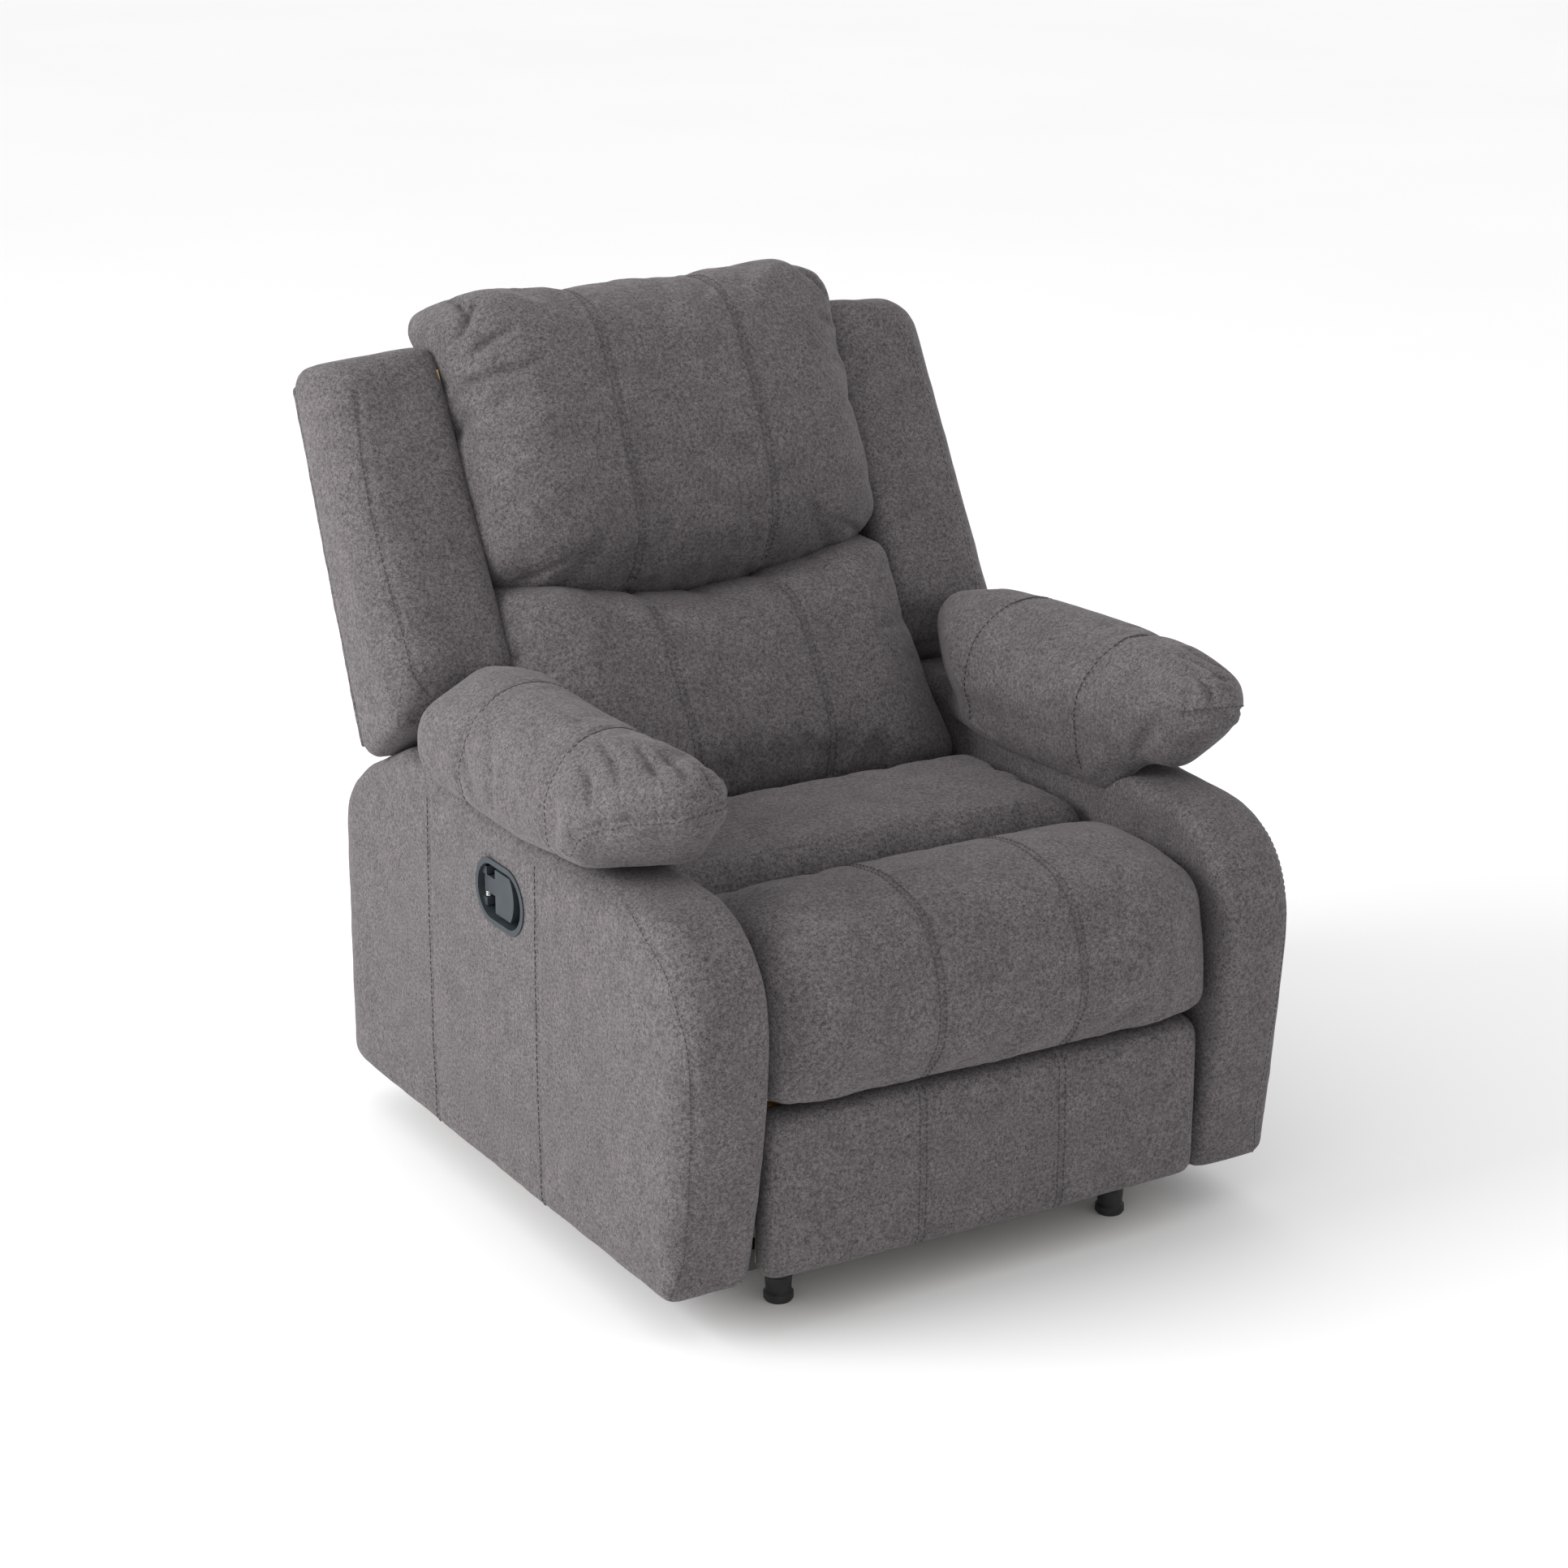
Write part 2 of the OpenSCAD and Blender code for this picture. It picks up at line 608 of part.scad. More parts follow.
module bracket_pins() placed() color(zinc_colour) both_sides()
    bar_x(bracket_pivot, small_pin_r, bracket_in - rivet_end, tie_in + steel_t + rivet_end);

module footrest_pad() placed() color(fabric_colour)
    soft_slab([board_y - fit_gap - foot_pad_t, foot_pad_low], [board_y - fit_gap, foot_pad_top], seat_half,
        foot_pad_t * 0.4);

// ---- back ----

module hinge_pins() placed() color(zinc_colour) both_sides() {
    bar_x([hinge_y, hinge_z], pin_r, drive_in - rivet_end, plate_in + steel_t);
    bar_x([hinge_y, hinge_z], 11, plate_in + steel_t, plate_in + steel_t + 4);
}

module back_brackets() placed() color(steel_colour) both_sides() difference() {
    on_back() slab_x(drive_in, drive_in + steel_t) union() {
        hull() {
            circle(r = 20, $fn = 48);
            translate([frame_front, 30]) square([-frame_front + 10, 1]);
        }
        translate([frame_front, 30]) square([frame_rear - frame_front, 170]);
    }
    bar_x([hinge_y, hinge_z], pin_r + run_clear, drive_in - 1, plate_in);
}

module back_stiles() placed() color(timber_colour) both_sides() on_back()
    block([stile_out - stile_w, frame_front, -20], [stile_out, frame_rear, back_frame_top]);

module back_rails() placed() color(timber_colour) on_back() {
    x1 = stile_out - stile_w;
    for (u = [-20, back_frame_top / 2 + 5, back_frame_top - 40])
        block([-x1, frame_front, u], [x1, frame_rear, u + 40]);
}

module back_webbing() placed() color(web_colour) on_back()
    for (i = [0:6]) let (u = 60 + i * (back_frame_top - 180) / 6)
        block([-stile_out + 6, frame_front - 2.2, u], [stile_out - 6, frame_front - 0.2, u + 50]);

// Wide between the arms, and drawn in above the waist where the wings begin
module lumbar_cushion() placed() color(fabric_colour) on_back() union() {
    soft_span([[lumbar_foot[0], lumbar_foot[1], lumbar_foot_r, seat_half - 4], [-186, lumbar_waist, 42, stile_out - 4],
        [cushion_rear - 20, 85, 20, seat_half - 4], [cushion_rear - 20, lumbar_waist, 20, stile_out - 4]]);
    soft_span([[-186, lumbar_waist, 42, stile_out - 4], [-155, 342, 35, stile_out - 6],
        [cushion_rear - 20, lumbar_waist, 20, stile_out - 4], [cushion_rear - 20, 355, 20, stile_out - 6]]);
}

module head_cushion() placed() color(fabric_colour) on_back() union() {
    soft_span([[-153, 426, 45, stile_out - 8], [-155, 560, 50, stile_out - 8],
        [-128, head_top - 50, 50, stile_out - 8], [cushion_rear - 20, 402, 20, stile_out - 8],
        [cushion_rear - 22, back_frame_top - 20, 20, stile_out - 8]]);
    soft_span([[-128, head_top - 50, 50, stile_out - 8],
        [head_heel[0], head_heel[1], head_heel_r, stile_out - 8]]);
}

// Side view of a wing in the back's plane, as [v, u]
module wing_outline() polygon([[wing_rear, wing_foot], [wing_rear, back_frame_top],
    [-126, back_frame_top], [-143, (wing_foot + back_frame_top) / 2 + 28], wing_front]);

module wing_board(grow) on_back()
    block([stile_out + 0.4, -112 - grow, wing_foot + 36 - grow], [stile_out + 16 + grow, -36 + grow, back_frame_top - 20 + grow]);

module wing() difference() {
    on_back() hull() {
        slab_x(stile_out + 0.3 + 4, wing_out - 14) wing_outline();
        slab_x(stile_out + 0.3, wing_out - 4) offset(delta = -4) wing_outline();
        slab_x(stile_out + 0.3 + 10, wing_out) offset(delta = -14) wing_outline();
    }
    wing_board(fit_gap);
    on_back() block([stile_out, -112 - fit_gap, wing_foot + 36 - fit_gap],
        [stile_out + 1, -36 + fit_gap, back_frame_top - 20 + fit_gap]);
}

module wing_board_left() placed() color(board_colour) wing_board(0);
module wing_board_right() placed() color(board_colour) mirrored() wing_board(0);
module wing_left() placed() color(fabric_colour) wing();
module wing_right() placed() color(fabric_colour) mirrored() wing();

// Outer back: full width behind the wings, narrow where it drops between the arms
module back_panel() placed() color(fabric_colour) on_back() {
    block([-wing_out + 4, frame_rear, wing_foot + 4], [wing_out - 4, frame_rear + back_skin, back_frame_top]);
    block([-seat_half + 2, frame_rear, 60], [seat_half - 2, frame_rear + back_skin, wing_foot + 5]);
}

// ---- nodes ----

arm_panel_left();
arm_panel_right();
arm_battens_left();
arm_battens_right();
arm_cover_left();
arm_cover_right();
arm_pad_left();
arm_pad_right();
side_plate_left();
side_plate_right();
side_cleats();
arm_bolts();
front_cross_tube();
rear_cross_tube();
glide_front_left();
glide_front_right();
glide_rear_left();
glide_rear_right();
seat_side_rails();
seat_cross_rails();
seat_screws();
seat_springs();
seat_deck();
seat_cushion();
front_roll();
rear_apron();
handle_bezel();
handle_pin();
handle_spring();
handle_paddle();
release_cable();
release_latch();
latch_pin();
drive_pins();
drive_links();
torque_tube();
elbow_pins();
tie_pins();
reach_links();
footrest_pins();
tie_links();
footrest_board();
footrest_brackets();
bracket_pins();
footrest_pad();
hinge_pins();
back_brackets();
back_stiles();
back_rails();
back_webbing();
lumbar_cushion();
head_cushion();
wing_board_left();
wing_board_right();
wing_left();
wing_right();
back_panel();
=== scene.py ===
"""Looks of a manual recliner armchair: padded covers, seams, stitching and finishes."""

import sys
import json
import logging
import math
from collections.abc import Callable, Iterable, Sequence
from dataclasses import dataclass, field
from enum import Enum

import bmesh
import bpy
import numpy as np
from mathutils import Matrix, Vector, noise
from mathutils.bvhtree import BVHTree
from mathutils.kdtree import KDTree


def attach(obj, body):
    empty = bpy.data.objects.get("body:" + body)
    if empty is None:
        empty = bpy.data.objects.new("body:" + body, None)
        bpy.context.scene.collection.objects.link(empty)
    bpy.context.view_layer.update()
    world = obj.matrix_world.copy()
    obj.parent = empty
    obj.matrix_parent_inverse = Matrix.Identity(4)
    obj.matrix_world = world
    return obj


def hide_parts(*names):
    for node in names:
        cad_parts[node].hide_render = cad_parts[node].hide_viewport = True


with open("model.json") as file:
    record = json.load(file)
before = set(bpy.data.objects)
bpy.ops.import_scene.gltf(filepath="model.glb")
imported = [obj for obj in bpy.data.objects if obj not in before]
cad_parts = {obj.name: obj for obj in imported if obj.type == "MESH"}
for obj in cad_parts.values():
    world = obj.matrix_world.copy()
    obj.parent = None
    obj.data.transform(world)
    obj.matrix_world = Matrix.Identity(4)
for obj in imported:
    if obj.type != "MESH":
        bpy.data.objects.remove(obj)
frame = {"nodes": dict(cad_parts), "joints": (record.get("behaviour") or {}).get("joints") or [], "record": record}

Socket = bpy.types.NodeSocket

log = logging.getLogger("recliner")
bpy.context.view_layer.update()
MM = 0.001
LEAN = math.radians(22.0)
HINGE = Vector(next(j["pos_m"] for j in frame["joints"] if j["name"] == "back_recline"))
HINGE_BEHIND_ARM_FRONT = 640.0
FORWARD = Vector((0.0, 1.0, 0.0))
DOWN = Vector((0.0, 0.0, -1.0))
INTO_BACK = Vector((0.0, math.cos(LEAN), -math.sin(LEAN)))
DOUBLE_ROW = (-4.2, 4.2)
SINGLE_ROW = (5.0,)
WIDE_ROW = (5.5,)
SIDES = (-1, 1)
STATIONS = (0.0, 0.35, 0.65, 0.85, 1.0)
BALL_RINGS = 8
HANDLE_Y = 378
HANDLE_Z = 410
HANDLE_FLAT = 21
SWELL_FRAMES = 20
HELD_FACING = 0.45


class Side(Enum):
    """Which side of the chair a piece is on, seen by the sitter."""

    LEFT = 1
    RIGHT = -1


class Body(Enum):
    """The moving bodies that carry visible covers."""

    BASE = "base"
    BACK = "backrest"
    FOOTREST = "footrest"


def chair(x: float, y: float, z: float) -> Vector:
    """Turn chair millimetres into a point of the row frame.

    Args:
        x: Sideways from the middle, towards the sitter's left.
        y: Behind the front plane of the arms.
        z: Above the floor.

    Returns:
        The point in metres.
    """
    return Vector((x * MM, HINGE.y + (y - HINGE_BEHIND_ARM_FRONT) * MM, z * MM))


def on_back(x: float, v: float, u: float) -> Vector:
    """Turn a point of the leaning back into the row frame.

    Args:
        x: Sideways from the middle.
        v: Behind the recline hinge, square to the back.
        u: Up along the back from the hinge.

    Returns:
        The point in metres.
    """
    along = u * math.sin(LEAN) + v * math.cos(LEAN)
    up = u * math.cos(LEAN) - v * math.sin(LEAN)
    return Vector((x * MM, HINGE.y + along * MM, HINGE.z + up * MM))


def trace(place: Callable[..., Vector], *points: tuple[float, float, float]) -> tuple[Vector, ...]:
    """Place several points.

    Args:
        place: Either chair or on_back.
        *points: Its arguments, point by point.

    Returns:
        The points in the row frame.
    """
    return tuple(place(*point) for point in points)


def linear(code: str) -> tuple[float, float, float, float]:
    """Turn an sRGB hex colour into linear light.

    Args:
        code: Six hex digits after a hash.

    Returns:
        Linear red, green, blue and an alpha of 1.
    """
    parts = [int(code[i : i + 2], 16) / 255 for i in (1, 3, 5)]
    r, g, b = (p / 12.92 if p <= 0.04045 else ((p + 0.055) / 1.055) ** 2.4 for p in parts)
    return (r, g, b, 1.0)


def per_mm(size: float) -> float:
    """Pattern scale for Object coordinates whose features are size millimetres apart."""
    return 1.0 / (size * MM)


def add_node(
    tree: bpy.types.NodeTree, kind: str, values: dict | None = None, links: dict | None = None, **settings
) -> bpy.types.Node:
    """Add one node with its settings, values and links.

    Args:
        tree: The tree that gets the node.
        kind: The node's type name.
        values: Input name or number to the value it is set to.
        links: Input name or number to the output socket that feeds it.
        **settings: Properties of the node itself.

    Returns:
        The new node.
    """
    node = tree.nodes.new(kind)
    for name, value in settings.items():
        setattr(node, name, value)
    for key, value in (values or {}).items():
        node.inputs[key].default_value = value
    for key, socket in (links or {}).items():
        tree.links.new(socket, node.inputs[key])
    return node


def new_material(name: str) -> tuple[bpy.types.Material, bpy.types.NodeTree]:
    """Start an empty node material.

    Args:
        name: What the real material is.

    Returns:
        The material and its empty node tree.
    """
    material = bpy.data.materials.new(name)
    material.use_nodes = True
    material.node_tree.nodes.clear()
    return material, material.node_tree


def close_material(tree: bpy.types.NodeTree, shader: bpy.types.Node) -> None:
    """Link a shader to the material's output.

    Args:
        tree: The material's tree.
        shader: The node whose first output is the surface.
    """
    add_node(tree, "ShaderNodeOutputMaterial", links={"Surface": shader.outputs[0]})


# ---- finishes ----


class Surface:
    """A material being put together, with its pattern placed in Object coordinates."""

    def __init__(self, name: str) -> None:
        """Start an empty material.

        Args:
            name: What the real material is.
        """
        self.material, self.tree = new_material(name)
        self.place = self.node("ShaderNodeTexCoord").outputs["Object"]

    def node(
        self, kind: str, values: dict | None = None, links: dict | None = None, **settings
    ) -> bpy.types.Node:
        """Add a node to this material; the arguments are those of add_node."""
        return add_node(self.tree, kind, values, links, **settings)

    def noise(self, size: float, detail: float, **more: float) -> Socket:
        """Add a noise.

        Args:
            size: Distance between its features, in millimetres.
            detail: Its octaves.
            **more: Other inputs, by name.

        Returns:
            Its value.
        """
        values = {"Scale": per_mm(size), "Detail": detail, **more}
        return self.node("ShaderNodeTexNoise", values, {"Vector": self.place}).outputs[0]

    def spread(self, value: Socket, values: dict[int, float]) -> Socket:
        """Map a value to another range.

        Args:
            value: What is mapped.
            values: From least (1), from most (2), to least (3) and to most (4).

        Returns:
            The mapped value.
        """
        return self.node("ShaderNodeMapRange", values, {0: value}).outputs[0]

    def blend(self, share: Socket, first: str, second: str) -> Socket:
        """Blend two colours.

        Args:
            share: Share of the second one.
            first: Hex code of the first.
            second: Hex code of the second.

        Returns:
            The colour.
        """
        values = {6: linear(first), 7: linear(second)}
        return self.node("ShaderNodeMix", values, {0: share}, data_type="RGBA").outputs[2]

    def average(self, share: float, first: Socket, second: Socket) -> Socket:
        """Average two values.

        Args:
            share: Weight of the second one.
            first: The first.
            second: The second.

        Returns:
            The average.
        """
        return self.node("ShaderNodeMix", {0: share}, {2: first, 3: second}, data_type="FLOAT").outputs[0]

    def close(
        self,
        colour: Socket,
        relief: tuple[Socket, float, float] | None = None,
        gloss: Socket | None = None,
        **values,
    ) -> bpy.types.Material:
        """Finish the material with its shader.

        Args:
            colour: Its base colour.
            relief: Height, strength and depth in metres of its bump, if it has one.
            gloss: Its roughness, if a pattern drives it.
            **values: Other inputs of the shader, with underscores for the spaces.

        Returns:
            The node material.
        """
        links = {"Base Color": colour}
        if gloss is not None:
            links["Roughness"] = gloss
        if relief is not None:
            height, strength, depth = relief
            bump = self.node("ShaderNodeBump", {"Strength": strength, "Distance": depth}, {"Height": height})
            links["Normal"] = bump.outputs[0]
        named = {key.replace("_", " "): value for key, value in values.items()}
        close_material(self.tree, self.node("ShaderNodeBsdfPrincipled", named, links))
        return self.material


@dataclass(frozen=True)
class NapFabric:
    """Short-nap polyester chenille, woven from mixed dark and light yarn and brushed."""

    name: str = "polyester_chenille_short_nap"
    dark: str = "#373435"
    light: str = "#716c6e"
    bloom: str = "#cfc8ca"
    yarn_mm: float = 1.7
    fleck_mm: float = 4.2
    # Size of the painted sheen patches on the nap, in millimetres.
    nap_sheen_patch_mm: float = 34.0

    def make(self) -> bpy.types.Material:
        """Build the material.

        The mixed yarn gives a mottled grey at arm's length, and the shader gives the brushed nap a soft
        sheen at grazing angles. The colour also carries painted sheen: faint lighter and darker
        patches, painted in for light catching the nap where it lies the other way.
        The yarn is drawn at about twice its real 0.8 mm, so that it shows at
        whole-chair distance.

        Returns:
            The node material.
        """
        new = Surface(self.name)
        yarn = new.noise(self.yarn_mm, 2.0, Roughness=0.6)
        fleck = new.noise(self.fleck_mm, 3.0, Roughness=0.65)
        mixed = new.average(0.5, yarn, fleck)
        colour = new.blend(new.spread(mixed, {1: 0.36, 2: 0.64}), self.dark, self.light)
        # Painted sheen: the colour is made lighter and darker in patches, for light catching the nap where it lies
        # the other way.
        painted_nap_sheen = new.spread(new.noise(self.nap_sheen_patch_mm, 2.0), {1: 0.3, 2: 0.7, 3: 0.9, 4: 1.1})
        shade = new.node("ShaderNodeVectorMath", {}, {0: colour, 1: painted_nap_sheen}, operation="MULTIPLY").outputs[0]
        sheen = {"Sheen_Weight": 0.16, "Sheen_Roughness": 0.45, "Sheen_Tint": linear(self.bloom)}
        return new.close(shade, (mixed, 0.55, 0.0006), Roughness=0.95, Specular_IOR_Level=0.25, **sheen)


@dataclass(frozen=True)
class SewingThread:
    """Bonded polyester thread in the tone of the fabric."""

    name: str = "bonded_polyester_thread"
    colour: str = "#343133"
    lit: str = "#434041"

    def make(self) -> bpy.types.Material:
        """Build the material: a twisted thread, a little glossier than the nap round it.

        Returns:
            The node material.
        """
        new = Surface(self.name)
        colour = new.blend(new.noise(0.9, 1.0), self.colour, self.lit)
        return new.close(colour, Roughness=0.6, Specular_IOR_Level=0.35)


@dataclass(frozen=True)
class MouldedPlastic:
    """Injection-moulded plastic with a fine spark-eroded texture."""

    name: str
    colour: str
    worn: str
    roughness: float
    grain_mm: float = 0.7

    def make(self) -> bpy.types.Material:
        """Build the material.

        The eroded mould leaves a fine even grain that breaks up the highlight, and the
        colour is slightly uneven where hands or the floor rub it.

        Returns:
            The node material.
        """
        new = Surface(self.name)
        rub = new.noise(18.0, 4.0)
        colour = new.blend(new.spread(rub, {1: 0.42, 2: 0.72}), self.colour, self.worn)
        gloss = new.spread(rub, {3: self.roughness, 4: self.roughness + 0.14})
        return new.close(colour, (new.noise(self.grain_mm, 2.0), 0.25, 0.0002), gloss, IOR=1.49)


@dataclass(frozen=True)
class CoatedSteel:
    """Pressed steel with a satin black powder coat."""

    name: str = "powder_coated_steel_black"
    colour: str = "#1c1d1f"
    dusty: str = "#2b2c2e"

    def make(self) -> bpy.types.Material:
        """Build the material: the baked powder has a faint orange peel and a soft highlight.

        Returns:
            The node material.
        """
        new = Surface(self.name)
        colour = new.blend(new.noise(26.0, 4.0), self.colour, self.dusty)
        return new.close(colour, (new.noise(1.6, 2.0), 0.3, 0.0002), Roughness=0.45)


@dataclass(frozen=True)
class ZincSteel:
    """Drawn steel wire, pins and screws with a bright zinc plate."""

    name: str = "zinc_plated_steel"
    dull: str = "#a9abad"
    bright: str = "#c9cac6"

    def make(self) -> bpy.types.Material:
        """Build the material: pale metal, with fine spangle and uneven gloss from the bath.

        Returns:
            The node material.
        """
        new = Surface(self.name)
        bath = new.noise(5.0, 4.0)
        gloss = new.spread(bath, {3: 0.24, 4: 0.46})
        return new.close(new.blend(bath, self.dull, self.bright), gloss=gloss, Metallic=1.0)


@dataclass(frozen=True)
class SawnWood:
    """Raw wood with growth rings along one direction."""

    name: str
    early: str
    late: str
    ring_mm: float
    stretch: tuple[float, float, float]

    def make(self) -> bpy.types.Material:
        """Build the material.

        Dense late wood shows as darker bands that the rings leave along the grain, with
        fine pores between them, on a dry unsealed surface.

        Returns:
            The node material.
        """
        new = Surface(self.name)
        new.place = new.node("ShaderNodeMapping", {"Scale": self.stretch}, {"Vector": new.place}).outputs[0]
        rings = new.noise(self.ring_mm, 5.0, Distortion=0.6)
        colour = new.blend(new.spread(rings, {1: 0.38, 2: 0.62}), self.early, self.late)
        return new.close(colour, (rings, 0.3, 0.0004), Roughness=0.78)


@dataclass(frozen=True)
class Woven:
    """A plain industrial textile, needled or woven, seen only from below."""

    name: str
    base: str
    thread: str
    pitch_mm: float

    def make(self) -> bpy.types.Material:
        """Build the material: threads in rows with a fibrous, matt surface.

        Returns:
            The node material.
        """
        new = Surface(self.name)
        wave = {"Scale": per_mm(self.pitch_mm) / 20.0, "Distortion": 3.0, "Detail": 2.0}
        rows = new.node("ShaderNodeTexWave", wave, {"Vector": new.place}).outputs[1]
        both = new.average(0.6, rows, new.noise(self.pitch_mm * 0.6, 3.0))
        return new.close(new.blend(both, self.base, self.thread), (both, 0.5, 0.0005), Roughness=0.95)


@dataclass
class Finishes:
    """Every finish of the chair, by the record's material slots."""

    fabric: bpy.types.Material = field(default_factory=lambda: NapFabric().make())
    thread: bpy.types.Material = field(default_factory=lambda: SewingThread().make())
    slots: dict[str, bpy.types.Material] = field(default_factory=dict)

    def __post_init__(self) -> None:
        """Make the finishes of the CAD nodes."""
        self.slots = {
            "fabric": self.fabric,
            "plywood": SawnWood("birch_plywood_raw", "#c9a877", "#a07c4c", 9.0, (1.0, 0.12, 0.6)).make(),
            "timber": SawnWood("pine_planed", "#d3b488", "#a9834f", 7.0, (1.0, 1.0, 0.1)).make(),
            "black_steel": CoatedSteel().make(),
            "zinc_steel": ZincSteel().make(),
            "slate_plastic": MouldedPlastic("abs_moulded_slate", "#272f34", "#30393e", 0.58).make(),
            "black_plastic": MouldedPlastic("polypropylene_moulded_black", "#141517", "#232427", 0.5).make(),
            "felt": Woven("needled_felt_grey", "#7d7b77", "#9a9893", 2.5).make(),
            "webbing": Woven("elastic_webbing_black", "#221f1d", "#3c3834", 3.0).make(),
        }

    def dress_nodes(self) -> None:
        """Give every CAD node the finish of its slot."""
        for part in frame["record"]["subparts"]:
            node = frame["nodes"][part["node"]]
            node.data.materials.clear()
            node.data.materials.append(self.slots[part["material_slot"]])


# ---- padded forms ----


@dataclass(frozen=True)
class Ball:
    """One ball of stuffing: its place in the row frame and its radius, in metres."""

    place: Vector
    radius: float

    def points(self) -> list[Vector]:
        """Points all over the ball.

        Returns:
            The points, ring by ring.
        """
        found = []
        for i in range(BALL_RINGS + 1):
            polar = math.pi * i / BALL_RINGS
            count = 1 if i in (0, BALL_RINGS) else 2 * BALL_RINGS
            for j in range(count):
                turn = math.tau * j / count
                ring = math.sin(polar)
                offset = Vector((ring * math.cos(turn), ring * math.sin(turn), math.cos(polar)))
                found.append(self.place + self.radius * offset)
        return found


Lump = list[Ball]
Balls = list[tuple[float, float, float, float]]


def lumps_across(section: Callable[[float], Balls], place: Callable[..., Vector]) -> list[Lump]:
    """String a section of balls across the chair, the same on both sides.

    Args:
        section: For a share of the half width from -1 to 1, the balls as (a, b, radius,
            half width) in millimetres.
        place: Turns (x, a, b) into the row frame.

    Returns:
        One lump for each neighbouring pair of stations.
    """
    stations = sorted({-s for s in STATIONS} | set(STATIONS))
    rings = [[Ball(place(s * (half - r), a, b), r * MM) for a, b, r, half in section(s)] for s in stations]
    return [first + second for first, second in zip(rings, rings[1:])]


def hull_shell(lumps: Iterable[Lump]) -> bpy.types.Mesh:
    """Wrap each lump in its convex hull.

    Args:
        lumps: Balls to wrap, one hull for each lump.

    Returns:
        A mesh of overlapping closed hulls.
    """
    whole = bmesh.new()
    for lump in lumps:
        part = bmesh.new()
        for ball in lump:
            for point in ball.points():
                part.verts.new(point)
        result = bmesh.ops.convex_hull(part, input=part.verts)
        spare = result["geom_interior"] + result["geom_unused"]
        loose = {g for g in spare if isinstance(g, bmesh.types.BMVert)}
        bmesh.ops.delete(part, geom=list(loose), context="VERTS")
        bmesh.ops.recalc_face_normals(part, faces=part.faces)
        lump_mesh = bpy.data.meshes.new("lump")
        part.to_mesh(lump_mesh)
        part.free()
        whole.from_mesh(lump_mesh)
        bpy.data.meshes.remove(lump_mesh)
    mesh = bpy.data.meshes.new("shell")
    whole.to_mesh(mesh)
    whole.free()
    return mesh


def new_object(name: str, data: bpy.types.ID) -> bpy.types.Object:
    """Put a new object into the scene.

    Args:
        name: Its name.
        data: Its mesh, curve, light or camera.

    Returns:
        The object.
    """
    obj = bpy.data.objects.new(name, data)
    bpy.context.scene.collection.objects.link(obj)
    return obj


def settle(obj: bpy.types.Object) -> None:
    """Turn an object's modifiers into its plain mesh.

    Args:
        obj: The object whose modifiers are applied and removed.
    """
    graph = bpy.context.evaluated_depsgraph_get()
    mesh = bpy.data.meshes.new_from_object(obj.evaluated_get(graph))
    obj.modifiers.clear()
    old, obj.data = obj.data, mesh
    bpy.data.meshes.remove(old)


def rows_of(mesh: bpy.types.Mesh, kind: str = "co") -> np.ndarray:
    """Read one vector of every vertex.

    Args:
        mesh: The mesh.
        kind: Either co, the places, or normal.

    Returns:
        One row for each vertex.
    """
    flat = np.empty(len(mesh.vertices) * 3, np.float64)
    mesh.vertices.foreach_get(kind, flat)
    return flat.reshape(-1, 3)


def move_to(mesh: bpy.types.Mesh, rows: np.ndarray) -> None:
    """Put the vertices at new places.

    Args:
        mesh: The mesh.
        rows: One place for each vertex.
    """
    mesh.vertices.foreach_set("co", rows.astype(np.float32).ravel())
    mesh.update()


@dataclass(frozen=True)
class Crease:
    """A line pressed or sewn into a cover.

    Attributes:
        guide: Points near the line, in the row frame.
        toward: The direction in which the guide is dropped onto the cover.
        depth: How deep the line lies, in millimetres.
        width: How far from the line the cover is drawn in, in millimetres.
        stitched: How far each row of topstitching lies from the line, in millimetres; none if empty.
        fade: Whether the depth fades to nothing at the line's end.
    """

    guide: tuple[Vector, ...]
    toward: Vector
    depth: float = 1.8
    width: float = 5.0
    stitched: tuple[float, ...] = ()
    fade: bool = False


def spread_points(guide: Sequence[Vector], step: float = 0.004) -> list[Vector]:
    """Lay points along a guide at an even step.

    Args:
        guide: Corner points.
        step: Distance between the new points, in metres.

    Returns:
        The points, on a smooth curve through the guide.
    """
    dense: list[Vector] = []
    for i in range(len(guide) - 1):
        p0 = guide[max(i - 1, 0)]
        p1, p2 = guide[i], guide[i + 1]
        p3 = guide[min(i + 2, len(guide) - 1)]
        count = max(2, int((p2 - p1).length / step))
        for k in range(count):
            t = k / count
            bend = (2 * p0 - 5 * p1 + 4 * p2 - p3) * t**2
            twist = (3 * p1 - p0 - 3 * p2 + p3) * t**3
            dense.append(0.5 * ((2 * p1) + (p2 - p0) * t + bend + twist))
    dense.append(guide[-1].copy())
    return dense


